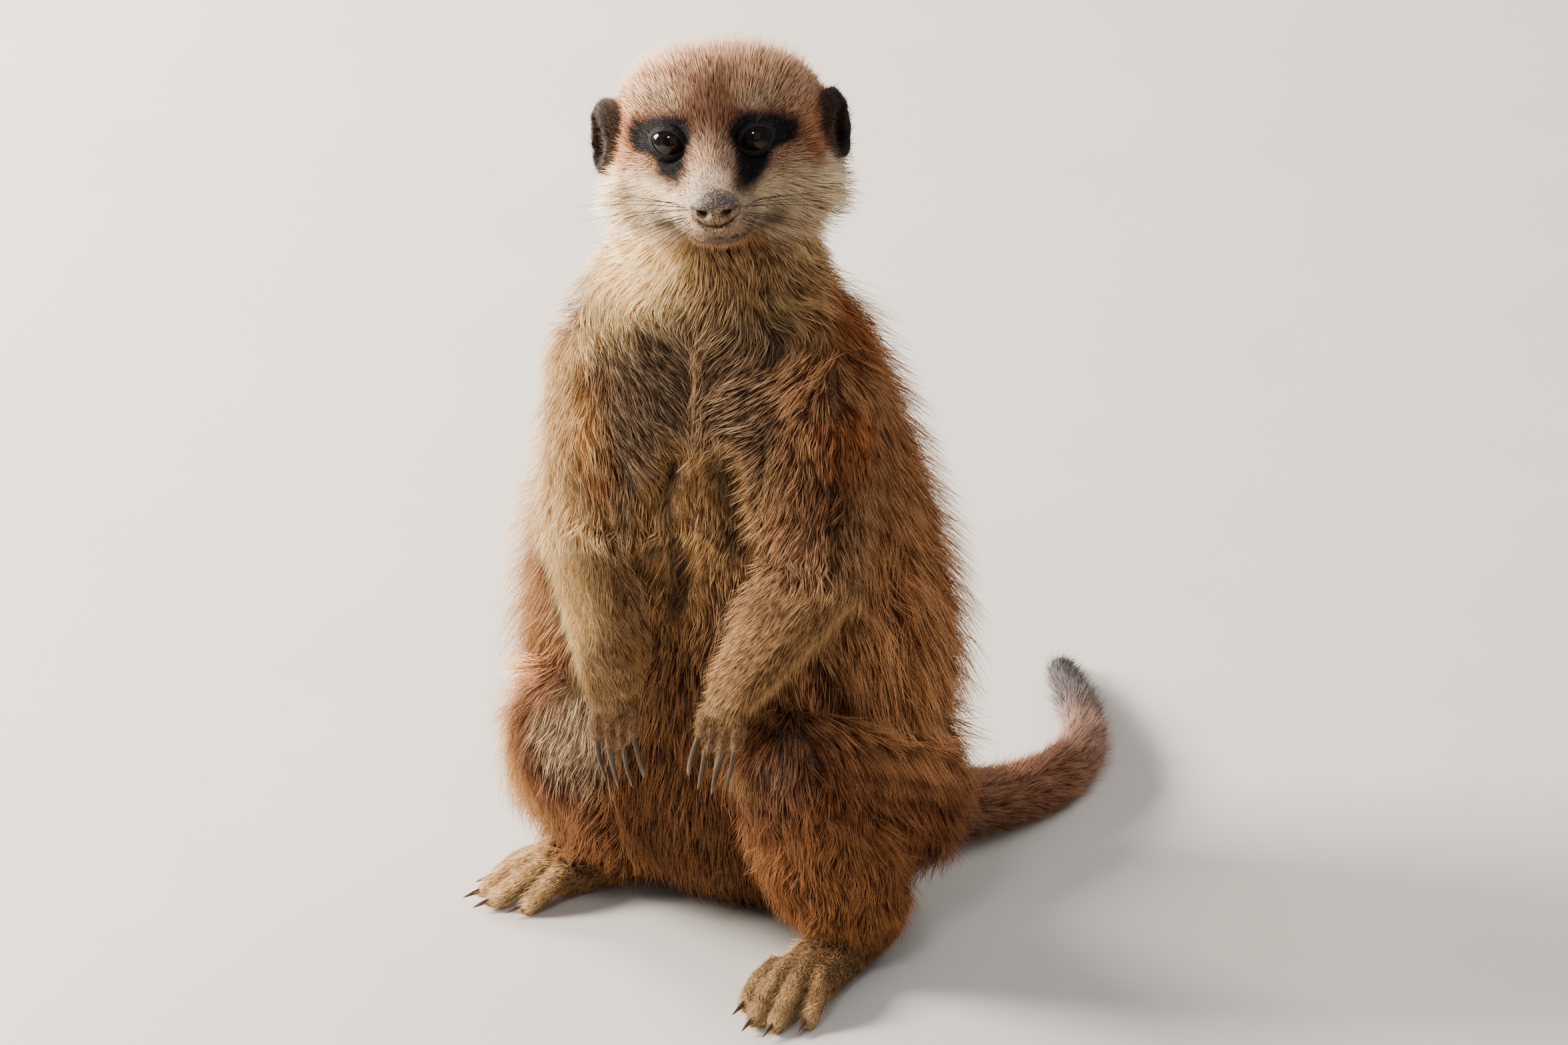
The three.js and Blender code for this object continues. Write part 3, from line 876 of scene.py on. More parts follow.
    def head_zones(self, paint: Paint, points: Array, owners: Array) -> None:
        """Zones of the face, laid from the crown down to the patches round the eyes."""
        head = self.body.is_region(owners, Region.HEAD).astype(float)
        x, y, z = HEAD.local(points).T
        wide = np.abs(x)
        wander, fine = ripple(points, 9.0, 7), ripple(points, 2.6, 9)
        from_nose = np.linalg.norm(points - NOSE, axis=1)
        front = fade(y, 20.0, 8.0)
        lay = paint.lay
        lay(head * fade(oval(x, z, (0, 4), (9.5, 9)), 1.6, 0.4) * front, FOREHEAD)
        beside = fade(wide + wander, 17.0, 24.0) * fade(z, 9.0, 3.0) * fade(y, 27.0, 17.0)
        lay(head * beside, TEMPLE)
        nape = fade(y + 1.5 * wander, 20.0, 34.0) * fade(z, 16.0, -6.0)
        lay(head * nape * 0.85, NECK_HAIR)
        low = fade(z + 1.2 * wander, -5.5, -10.5)
        low *= (1.0 - 0.45 * fade(z, -18.0, -27.0)) * fade(y, 25.0, 9.0)
        lay(head * low * fade(wide, 5.0, 9.0), CHEEK)
        bridge = fade(wide, 6.5, 2.5) * fade(z, 2.0, -3.0) * fade(y, 10.0, 0.0)
        lay(head * bridge, BRIDGE)
        lay(head * fade(from_nose + wander, 19.0, 11.0), MUZZLE)
        # Painted shade: the lower sides of the muzzle are made greyer and darker.
        side = fade(from_nose + wander, 21.0, 13.0) * fade(wide, 5.0, 9.0) * fade(z, -14.0, -18.0)
        lay(head * side * 0.45, MUZZLE_SIDE_SHADE)
        upper = bell(MOUTH.above(x, z) - 1.6, 1.7) * fade(wide, 10.0, 5.0)
        lay(head * upper * 0.75 * fade(y, -6.0, -14.0), SANDY)
        lay(head * fade(z, -20.5, -22.5) * fade(wide, 12.0, 8.0) * 0.85, CHIN)
        for side, sign in SIDES.items():
            out = sign * (x - HEAD.local(EYES[side])[0])
            ahead = head * front
            brow = oval(out, z, (1.6, 7.3), (6.0, 2.2)) + 0.12 * wander
            lay(ahead * fade(brow, 1.4, 0.5) * 0.8, BROW)
            main = oval(out, z, (0.9, 0.5), (7.0, 4.4))
            tail = oval(out + 0.2 * z, z, (5.6, -0.4), (3.5, 2.6))
            lobe = oval(out - 0.12 * z, z, (-0.2, -4.3), (4.0, 5.6))
            joined = sum(np.exp(-4.0 * np.minimum(part, 9.0)) for part in (main, tail, lobe))
            patch = 0.04 - 0.25 * np.log(joined) + 0.06 * wander + 0.05 * fine
            lay(ahead * fade(patch, 1.45, 1.05) * 0.8, RUST)
            lay(ahead * fade(patch, 1.16, 0.94), PATCH)
        corner = oval(wide, z, (12.4, -19.6), (4.4, 3.2)) + 0.2 * wander
        dark = fade(corner, 1.25, 0.45) * fade(y, 3.0, -3.0)
        band = 1.15 + 0.45 * fade(wide, 5.0, 12.0)
        lip = bell(MOUTH.above(x, z), band) * fade(wide, 15.2, 13.0) * (y < 0.5)
        lay(head * dark * 0.6, SMUDGE)
        by_ear = fade(EAR_HOLLOW.distance(x, y, z) + 0.08 * wander, 1.0, 0.72)
        lay(head * by_ear * 0.85, EAR_HAIR)
        lay(head * lip * 0.95, LIP)


@dataclass(frozen=True)
class Mouth:
    """Line between the lips, in the head's axes."""

    front: float = -20.4
    corner: float = -20.9
    half_width: float = 13.6
    depth: float = 1.4

    def above(self, x: Array, z: Array) -> Array:
        """Height above the line between the lips."""
        rise = (np.abs(x) / self.half_width) ** 1.6
        return z - (self.front + (self.corner - self.front) * np.minimum(rise, 1.0))


MOUTH = Mouth()


# ----------------------------
# Skin


class MeshGraph:
    """Edges of a mesh, for smoothing values that sit on its vertices."""

    def __init__(self, mesh: Mesh) -> None:
        """Reads the edges and counts the neighbours of each vertex."""
        self.count = len(mesh.vertices)
        pairs = np.empty(len(mesh.edges) * 2, np.int32)
        mesh.edges.foreach_get("vertices", pairs)
        self.a, self.b = pairs.reshape(-1, 2).T
        joined = np.concatenate([self.a, self.b])
        self.degree = np.maximum(np.bincount(joined, minlength=self.count), 1)

    def average(self, values: Array) -> Array:
        """Mean of each vertex's neighbours, one column at a time."""
        columns = values.reshape(self.count, -1)
        out = np.empty_like(columns)
        for i in range(columns.shape[1]):
            column = columns[:, i]
            total = np.bincount(self.a, column[self.b], self.count)
            total += np.bincount(self.b, column[self.a], self.count)
            out[:, i] = total / self.degree
        return out.reshape(values.shape)

    def relax(self, values: Array, rounds: int, share: float | Array = 0.5) -> Array:
        """Moves values towards their neighbours' mean, round after round."""
        for _ in range(rounds):
            values = values + share * (self.average(values) - values)
        return values

    def settle(self, points: Array, free: Array, rounds: int) -> Array:
        """Spreads the free points evenly between the fixed ones round them."""
        points = points.copy()
        touch = free[self.a] | free[self.b]
        a, b = self.a[touch], self.b[touch]
        used, index = np.unique(np.concatenate([a, b]), return_inverse=True)
        a, b = index[: len(a)], index[len(a) :]
        moves = free[used]
        local, degree = points[used], self.degree[used]
        for _ in range(rounds):
            for axis in range(3):
                column = local[:, axis]
                total = np.bincount(a, column[b], len(used)) + np.bincount(b, column[a], len(used))
                local[moves, axis] = (total / degree)[moves]
        points[used] = local
        return points

    def smooth(self, points: Array, rounds: int, share: Array) -> Array:
        """Smooths a surface without shrinking it."""
        for _ in range(rounds):
            points = self.relax(points, 1, 0.5 * share)
            points = self.relax(points, 1, -0.52 * share)
        return points


@dataclass(frozen=True)
class ToeShape:
    """Toes of one kind of paw, in millimetres.

    Attributes:
        claw: Kind of the claws on them.
        length: From the line of the knuckles to the middle of the claws' roots.
        cut: How far back from the claws the paw's own solid ends.
        radius: At the widest, under the hair.
        lift: Height of the knuckles above the claws' roots.
        reach: How far the toes run on over the claws.
        gather: Share of the toes' spread that is left at the knuckles.
        cleft: How far the skin is pressed in between two toes.
    """

    claw: str
    length: float
    cut: float
    radius: float
    lift: float
    reach: float
    gather: float
    cleft: float


TOES = {
    Region.HIND_FOOT: ToeShape("hind", 14.5, 9.5, 3.1, 4.4, 6.4, 0.78, 0.4),
    Region.FOREPAW: ToeShape("fore", 9.0, 6.0, 1.95, 0.3, 2.4, 0.95, 0.4),
}


@dataclass(frozen=True)
class ClawSolid:
    """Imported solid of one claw, and how far its corners are from the middle of the paw."""

    name: str
    points: Array
    away: Array

    @classmethod
    def all_of(cls, kind: str, side: str, paw: Array) -> list["ClawSolid"]:
        """Claws of one paw in order, such as hind and left."""
        prefix = f"{kind}_claw_{side}_"
        claws = []
        for name in sorted(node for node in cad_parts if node.startswith(prefix)):
            points = node_points(name)
            claws.append(cls(name, points, np.linalg.norm(points - paw, axis=1)))
        return claws

    def root(self, reach: float = 1.2) -> Array:
        """Middle of the claw's end in the toe."""
        return self.points[self.away < self.away.min() + reach].mean(0)


class Paw:
    """One paw: where its toes begin and end."""

    def __init__(self, node: str) -> None:
        """Finds the toes from the claws' solids."""
        self.shape = TOES[BodyMap.region_of(node)]
        claws = ClawSolid.all_of(self.shape.claw, node.rsplit("_", 1)[-1], middle(node))
        self.ends = np.array([claw.root() for claw in claws])
        self.end = self.ends.mean(0)
        self.back = unit(middle(node) - self.end)
        self.hind = self.shape.claw == "hind"

    def trim(self, part: BMesh) -> None:
        """Cuts the paw's solid off behind its toes and closes it again."""
        edge = Vector((self.end + self.back * self.shape.cut) * MM)
        geometry = [*part.verts, *part.edges, *part.faces]
        bmesh.ops.bisect_plane(
            part, geom=geometry, plane_co=edge, plane_no=Vector(-self.back), clear_outer=True
        )
        bmesh.ops.holes_fill(part, edges=part.edges, sides=0)

    def knuckle(self, end: Array) -> Array:
        """Start of the toe that ends at the given claw's root."""
        offset = end - self.end
        across = offset - (offset @ self.back) * self.back
        place = self.end + self.back * self.shape.length + self.shape.gather * across
        return place + np.array([0.0, 0.0, self.shape.lift])

    def between(self, points: Array) -> Array:
        """1 in the clefts between two toes, falling to 0 on the toes."""
        away = []
        for end in self.ends:
            start = self.knuckle(end)
            run = end + unit(end - start) * self.shape.reach - start
            share = np.clip((points - start) @ run / (run @ run), 0.0, 1.0)[:, None]
            away.append(np.linalg.norm(points - start - share * run, axis=1))
        first, second = np.sort(np.array(away), axis=0)[:2]
        ahead = fade((points - self.end) @ self.back, self.shape.length, self.shape.cut - 3.0)
        return bell(second - first, 0.9) * ahead

    def toe_ends(self, points: Array) -> Array:
        """1 at the ends of the toes, falling to 0 towards the knuckles."""
        return fade((points - self.end) @ self.back, self.shape.length, -1.0)

    def add_toes(self, tubes: "Tubes") -> None:
        """Adds the four toes as tubes that slope down from the knuckles to round ends."""
        shape = self.shape
        t = np.linspace(0.0, 1.0, 16)
        for end in self.ends:
            knuckle = self.knuckle(end)
            ahead = end + unit(end - knuckle) * shape.reach
            path = knuckle + t[:, None] * (ahead - knuckle)
            path[:, 2] += 0.28 * shape.lift * np.sin(math.pi * t)
            cap = np.sqrt(np.clip(1.0 - (np.maximum(t - 0.8, 0.0) / 0.2) ** 2, 0.03, 1.0))
            swell = 1.0 + 0.07 * np.cos(t * 2.0 * math.tau) - 0.16 * t
            tubes.add(path, shape.radius * swell * cap)


PAWS = {name: Paw(name) for name in FLESH if BodyMap.region_of(name) in TOES}
SOFTNESS: dict[Region, float] = {  # share of the skin's smoothing that a region takes
    Region.HEAD: 0.22,
    Region.EAR: 0.7,
    Region.FOREPAW: 0.04,
    Region.HIND_FOOT: 0.04,
    Region.FOREARM: 0.5,
    Region.TAIL: 0.5,
}


@dataclass
class Skin:
    """One closed skin inside the coat, made from the solids of flesh."""

    body: BodyMap
    coat: CoatMap
    markings: Markings

    name = "skin"
    voxel = 0.95
    irons = 30  # rounds of flattening
    floor = 0.15  # lowest height of the skin
    island_turn = math.radians(66.0)  # most that the surface turns within one unwrapped island
    island_gap = 0.002
    fill = 0.45  # how far each solid grows, so that the cuts between them close
    faces = 150_000  # left after the wide plain areas are thinned out

    def joined_flesh(self) -> Object:
        """All solids of flesh in one mesh, each grown a little to overlap its neighbours."""
        tubes = Tubes(12)
        for name in FLESH:
            part = solid_part(name, 0.002)
            part.normal_update()
            for vert in part.verts:
                vert.co += vert.normal * self.fill * MM
            if name in PAWS:
                PAWS[name].trim(part)
            merge(part, tubes.bm)
        for paw in PAWS.values():
            paw.add_toes(tubes)
        low, high = middle("neck") + NAPE.low, middle("head") + NAPE.high
        steps = np.linspace(0.0, 1.0, NAPE.rings)[:, None]
        tubes.add(low + steps * (high - low), np.full(NAPE.rings, NAPE.radius))
        for place in EYES.values():
            ball = bmesh.ops.create_icosphere(tubes.bm, subdivisions=4, radius=1.0)["verts"]
            for vert in ball:
                vert.co = (Vector(place) + vert.co * (EYE.radius + EYE.lid)) * MM
        return tubes.finish("joined_flesh")

    @staticmethod
    def applied(piece: Object) -> Mesh:
        """The object's mesh with its modifiers applied; the object is removed."""
        depsgraph = bpy.context.evaluated_depsgraph_get()
        mesh = bpy.data.meshes.new_from_object(piece.evaluated_get(depsgraph))
        bpy.data.objects.remove(piece)
        return mesh

    def remeshed(self) -> Mesh:
        """An even skin over the joined flesh, thinned out where the body is plain."""
        rough = self.joined_flesh()
        modifier = rough.modifiers.new("even", "REMESH")
        modifier.mode = "VOXEL"
        modifier.voxel_size = self.voxel * MM
        even = new_object("even", self.applied(rough))
        points = points_of(even.data)
        fine = self.body.is_region(self.body.nearest(points), *TOES, Region.HEAD, Region.EAR)
        group = even.vertex_groups.new(name="plain")
        group.add(np.flatnonzero(~fine).tolist(), 1.0, "REPLACE")
        thin = even.modifiers.new("thin", "DECIMATE")
        thin.ratio = min(1.0, self.faces / (2.0 * len(even.data.polygons)))
        thin.vertex_group = "plain"
        return self.applied(even)

    @staticmethod
    def normals_of(mesh: Mesh, points: Array) -> Array:
        """Normals of the vertices once they are moved to the points."""
        mesh.vertices.foreach_set("co", (points * MM).astype(np.float32).ravel())
        mesh.update()
        return read(mesh.vertices, "normal").astype(float)

    def refine_face(self, mesh: Mesh) -> None:
        """Halves the skin's squares round the eyes, the muzzle and the ears."""
        bm = bmesh.new()
        bm.from_mesh(mesh)
        places = [*EYES.values(), NOSE, *(middle(f"ear_{side}") for side in SIDES)]
        spots = [Vector(place * MM) for place in places]
        reach = [12.0 * MM, 12.0 * MM, 17.0 * MM, 11.5 * MM, 11.5 * MM]
        near = {
            vert
            for vert in bm.verts
            if any((vert.co - spot).length < r for spot, r in zip(spots, reach))
        }
        edges = [e for e in bm.edges if e.verts[0] in near and e.verts[1] in near]
        bmesh.ops.subdivide_edges(bm, edges=edges, cuts=1, use_grid_fill=True, smooth=0.0)
        bmesh.ops.triangulate(bm, faces=[f for f in bm.faces if len(f.verts) > 4])
        bm.to_mesh(mesh)
        bm.free()

    def shape(self, mesh: Mesh) -> tuple[Array, MeshGraph, Array]:
        """Smooths the skin and draws it in by the coat's depth.

        Returns:
            The skin's points, its graph and the owner of each point.
        """
        graph = MeshGraph(mesh)
        points = points_of(mesh)
        owners = self.body.nearest(points)
        table = np.array([SOFTNESS.get(region, 1.0) for region in self.body.regions])
        soft = graph.relax(table[owners], 8)[:, None]
        points = graph.smooth(points, 60, soft)
        depth = self.coat.values(points, owners)[:, DEPTH] + self.fill
        depth[self.body.is_region(owners, Region.EAR)] = 0.0
        for name, paw in PAWS.items():
            mine = owners == FLESH.index(name)
            behind = (points[mine] - paw.end) @ paw.back - paw.shape.cut
            depth[mine] *= fade(behind, -2.0, 4.0)
        depth = graph.relax(depth, 12)
        for _ in range(4):
            normals = graph.relax(self.normals_of(mesh, points), 2)
            points = points - unit(normals) * depth[:, None] / 4
            points = graph.smooth(points, 1, soft)
        return self.iron(mesh, graph, points, owners), graph, owners

    def iron(self, mesh: Mesh, graph: MeshGraph, points: Array, owners: Array) -> Array:
        """Flattens the crumples that drawing in leaves on sharp edges of the body."""
        fine = (Region.EAR, Region.HEAD, Region.FOREPAW, Region.HIND_FOOT)
        loose = graph.relax((~self.body.is_region(owners, *fine)).astype(float), 3)
        for _ in range(self.irons):
            normals = self.normals_of(mesh, points)
            bend = 1.0 - (normals * unit(graph.average(normals))).sum(1)
            share = graph.relax(np.clip(bend * 12.0 - 0.25, 0.0, 1.0), 3) * loose
            points = points + 0.9 * share[:, None] * (graph.average(points) - points)
        return points

    def form_ears(self, points: Array, owners: Array) -> Array:
        """Narrows the head in front of the ears and hollows the ears themselves."""
        place = HEAD.local(points)
        head = self.body.is_region(owners, Region.HEAD)
        away = EAR_HOLLOW.distance(*place.T)
        press = EAR_HOLLOW.depth * fade(away, 1.15, 0.2) * head
        place[:, 0] -= np.sign(place[:, 0]) * press
        points = HEAD.world(place)
        for side, sign in SIDES.items():
            ear = owners == FLESH.index(f"ear_{side}")
            ahead = HEAD.turn(unit(np.array([0.62 * sign, -0.78, 0.05])))
            offset = points[ear] - middle(f"ear_{side}")
            forward = offset @ ahead
            beside = np.linalg.norm(offset - forward[:, None] * ahead, axis=1)
            hollow = 1.5 * bell(beside, 4.4) * fade(forward, -1.0, 1.5)
            points[ear] -= hollow[:, None] * ahead
        return points

    def form_pleats(self, points: Array, normals: Array, owners: Array) -> Array:
        """Presses in the creases between the folds at the belly."""
        trunk = self.body.is_region(owners, Region.TRUNK)
        ridge, crease = self.body.pleats(points)
        press = trunk * (2.8 * crease - 1.3 * ridge)
        return points - normals * press[:, None]

    @staticmethod
    def form_paws(points: Array, normals: Array, owners: Array) -> Array:
        """Presses in the clefts between the toes."""
        for name, paw in PAWS.items():
            mine = owners == FLESH.index(name)
            press = paw.shape.cleft * paw.between(points[mine])
            points[mine] -= normals[mine] * press[:, None]
        return points

    @staticmethod
    def form_eyes(points: Array, graph: MeshGraph) -> Array:
        """Lays lids on each eyeball round its opening and blends them into the face."""
        for side, sign in SIDES.items():
            axes = EyeAxes.of(side)
            place = axes.local(points)
            across, up = sign * place[:, 0], place[:, 2]
            out, around = np.hypot(across, up), np.arctan2(up, across)
            ahead = -place[:, 1]
            near = (ahead > -EYE.back) & (ahead < EYE.front)
            dome = near & (out < EYE.dome) & (ahead < 9.5)
            reach = EYE.radius + EYE.lid
            place[dome, 1] = -np.sqrt(np.maximum(reach**2 - out[dome] ** 2, 1.0))
            ring = EYE.ring * (1.0 + 0.16 * np.cos(around - 1.0))
            free = near & (out < ring) & ~dome
            wall = 4.2 + 1.0 * np.maximum(out - 5.0, 0.0)
            steep = np.maximum(ahead - wall, 0.0) * fade(out, 13.0, 8.0) * (near & ~dome)
            place[:, 1] += 0.7 * steep
            place = graph.settle(place, free, 160)
            edge = EYE.opening(around)
            share = out / edge
            inside = dome & (share < 0.88)
            rim = dome & (share >= 0.88) & (share <= 1.12)
            snap = edge / np.maximum(out, 1e-6)
            place[rim, 0] *= snap[rim]
            place[rim, 2] *= snap[rim]
            flat = np.hypot(place[:, 0], place[:, 2])
            on_ball = np.sqrt(np.maximum((EYE.radius + 0.12) ** 2 - flat**2, 0.5))
            place[rim, 1] = -on_ball[rim]
            place[inside, 1] = -on_ball[inside] + 1.2
            points = axes.world(place)
        return points

    @staticmethod
    def form_mouth(points: Array, normals: Array) -> Array:
        """Presses the line between the lips, the groove under the nose and the nostril wings."""
        x, y, z = HEAD.local(points).T
        above, ahead = MOUTH.above(x, z), fade(y, 2.0, -3.0)
        lips = bell(above, 0.7) * fade(np.abs(x), 14.8, 12.6) * ahead
        full = bell(above - 2.0, 1.5) * fade(y, -4.0, -14.0)
        groove = bell(x, 0.5) * fade(above, 3.4, 2.4) * fade(above, -0.6, 0.2)
        pads = np.exp(-((oval(np.abs(x), z, (6.6, -14.5), (4.0, 3.4))) ** 2)) * fade(y, -8.0, -16.0)
        press = MOUTH.depth * lips + 0.5 * groove * fade(y, -20.0, -24.0)
        bridge = bell(y + 18.5, 4.5) * fade(z, -14.0, -9.0) * fade(np.abs(x), 8.0, 3.0)
        press -= 1.6 * bridge
        press -= 0.25 * full + 0.5 * pads
        return points - normals * press[:, None]

    def unwrap(self, piece: Object) -> None:
        """Lays the skin out flat, in islands that follow its own shape."""
        bpy.context.view_layer.objects.active = piece
        piece.select_set(True)
        bpy.ops.object.mode_set(mode="EDIT")
        bpy.ops.mesh.select_all(action="SELECT")
        bpy.ops.uv.smart_project(angle_limit=self.island_turn, island_margin=self.island_gap)
        bpy.ops.object.mode_set(mode="OBJECT")
        piece.select_set(False)
        piece.data.uv_layers[0].name = "OFBake"

    def build(self) -> Object:
        """Makes the skin and stores on it what the coat needs."""
        mesh = self.remeshed()
        self.refine_face(mesh)
        points, graph, owners = self.shape(mesh)
        points = self.form_ears(points, owners)
        points = self.form_eyes(points, graph)
        normals = self.normals_of(mesh, points)
        points = self.form_mouth(points, normals)
        points = self.form_paws(points, normals, owners)
        points = self.form_pleats(points, normals, owners)
        points[:, 2] = np.maximum(points[:, 2], self.floor)
        normals = self.normals_of(mesh, points)
        mesh.name = self.name
        mesh.shade_smooth()
        piece = new_object(self.name, mesh)
        self.unwrap(piece)
        self.points, self.normals, self.owners, self.graph = points, normals, owners, graph
        pairs = graph.relax(self.markings.base(owners), 40)
        pairs = self.markings.body_zones(pairs, points, owners)
        pairs = graph.relax(pairs, 8)
        self.pairs = self.markings.fine_zones(pairs, points, owners)
        self.pairs = graph.relax(self.pairs, 1)
        point_attribute(mesh, "hair_dark", self.pairs[:, :3])
        point_attribute(mesh, "hair_pale", self.pairs[:, 3:])
        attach(piece, "root")
        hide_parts(*FLESH)
        log.info("skin: %d vertices, %d faces", len(mesh.vertices), len(mesh.polygons))
        return piece


# ----------------------------
# Coat


@dataclass
class Roots:
    """Points of the skin that hairs grow from, one row each."""

    points: Array
    normals: Array
    flow: Array
    rows: Array
    pairs: Array
    owners: Array
    uv: Array

    def pick(self, chosen: Array) -> "Roots":
        """The chosen rows only."""
        return Roots(*(getattr(self, name)[chosen] for name in self.__dataclass_fields__))

    def column(self, name: str) -> Array:
        """One of the pelt's sizes."""
        return self.rows[:, PELT_FIELDS.index(name)]


class HairField:
    """Everything the coat needs to know of the skin, at any of its points."""

    def __init__(self, skin: Skin) -> None:
        """Reads the finished skin and lays the hair's direction in it."""
        self.skin, self.body = skin, skin.body
        mesh = skin.piece.data
        mesh.calc_loop_triangles()
        count = len(mesh.loop_triangles) * 3
        corners, loops = np.empty(count, np.int32), np.empty(count, np.int32)
        mesh.loop_triangles.foreach_get("vertices", corners)
        mesh.loop_triangles.foreach_get("loops", loops)
        self.triangles, loops = corners.reshape(-1, 3), loops.reshape(-1, 3)
        self.uv = read(mesh.uv_layers["OFBake"].data, "uv", 2)[loops]
        self.rows = skin.coat.values(skin.points, skin.owners, skin.graph)
        self.rows = skin.graph.relax(self.rows, 5)
        self.rows[:, DENSITY] *= self.bare(skin.points)
        self.flow = self.smooth_flow()
        self.tree = tree_of(skin.points)

    def bare(self, points: Array) -> Array:
        """0 where no hair grows: within the lids, under the nose pad and on the floor."""
        grows = np.ones(len(points))
        for side, sign in SIDES.items():
            place = EyeAxes.of(side).local(points)
            out = np.hypot(place[:, 0], place[:, 2])
            edge = EYE.opening(np.arctan2(place[:, 2], sign * place[:, 0]))
            grows *= ~((out < edge + 0.55) & (place[:, 1] < 2.0))
        low, high = (np.array(c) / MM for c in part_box("nose"))
        inside = np.linalg.norm((points - NOSE_PAD) / ((high - low) / 2), axis=1)
        grows *= inside > 0.97
        x, y, z = HEAD.local(points).T
        lips = (np.abs(MOUTH.above(x, z)) < 0.4) & (np.abs(x) < 13.0) & (y < -1.0)
        return grows * ~lips * (points[:, 2] > 0.5)

    def smooth_flow(self) -> Array:
        """Direction of the hair on each vertex, laid in the skin and free of steps."""
        skin = self.skin
        flow = flatten(self.body.lie(skin.points, skin.owners), skin.normals)
        for side in SIDES:
            outward = skin.points - EYES[side]
            near = (1.0 - fade(np.linalg.norm(outward, axis=1), 7.0, 12.0))[:, None]
            outward = flatten(outward, skin.normals)
            inward = np.minimum((flow * outward).sum(1, keepdims=True), 0.0)
            flow = flow - near * inward * outward + 0.5 * near * outward
        for _ in range(5):
            flow = flatten(skin.graph.relax(flow, 3), skin.normals)
        return flow

    def sample(self, amount: float, draw: np.random.Generator) -> Roots:
        """Scatters roots over the skin by the pelt's density.

        Args:
            amount: Share of the density to use.
            draw: Seeded source of random numbers.
        """
        skin, tri = self.skin, self.triangles
        a, b, c = (skin.points[tri[:, i]] for i in range(3))
        area = np.linalg.norm(np.cross(b - a, c - a), axis=1) / 2
        density = self.rows[:, DENSITY][tri].mean(1)
        wanted = np.cumsum(area * density * amount)
        steps = np.arange(int(wanted[-1])) + draw.uniform(0, 1, int(wanted[-1]))
        chosen = np.searchsorted(wanted, steps).clip(0, len(tri) - 1)
        u, v = draw.uniform(0, 1, (2, len(chosen)))
        fold = u + v > 1.0
        u[fold], v[fold] = 1.0 - u[fold], 1.0 - v[fold]
        shares = np.stack([1.0 - u - v, u, v], axis=1)[:, :, None]

        def blend(values: Array) -> Array:
            return (values[tri[chosen]] * shares).sum(1)

        normals = unit(blend(skin.normals))
        return Roots(
            points=blend(skin.points),
            normals=normals,
            flow=flatten(blend(self.flow), normals),
            rows=blend(self.rows),
            pairs=blend(skin.pairs),
            owners=skin.owners[tri[chosen, 0]],
            uv=(self.uv[chosen] * shares).sum(1),
        )

    def follow(self, points: Array, normals: Array, flow: Array) -> tuple[Array, Array, Array]:
        """Lays points back on the skin where it is near and faces the same way.

        Returns:
            The points, the skin's normals there and the hair's direction there.
        """
        found = [self.tree.find(point) for point in points]
        index = np.array([hit[1] for hit in found])
        away = np.array([hit[2] for hit in found])
        skin_normals = self.skin.normals[index]
        share = fade(away, 4.5, 2.0) * ((skin_normals * normals).sum(1) > 0.25)
        share = share[:, None]
        off = ((points - self.skin.points[index]) * skin_normals).sum(1, keepdims=True)
        laid = points - share * off * skin_normals
        new_normals = unit(normals + share * (skin_normals - normals))
        return laid, new_normals, flatten(flow + share * (self.flow[index] - flow), new_normals)


@dataclass(frozen=True)
class CoatPiece:
    """One joined mesh of hair: its name, its slot and the regions it covers."""

    name: str
    slot: str
    regions: tuple[Region, ...]


COAT_PIECES = (
    CoatPiece("coat_head", "head_coat", (Region.HEAD,)),
    CoatPiece("coat_ears", "dark_hair", (Region.EAR,)),
    CoatPiece("coat_neck", "body_coat", (Region.NECK,)),
    CoatPiece("coat_trunk", "body_coat", (Region.TRUNK,)),
    CoatPiece("coat_upper_arms", "body_coat", (Region.UPPER_ARM,)),
    CoatPiece("coat_thighs", "body_coat", (Region.THIGH,)),
    CoatPiece("coat_forearms", "limb_coat", (Region.FOREARM, Region.FOREPAW)),
    CoatPiece("coat_shanks", "limb_coat", (Region.SHANK, Region.HIND_FOOT)),
    CoatPiece("coat_tail", "tail_coat", (Region.TAIL,)),
)


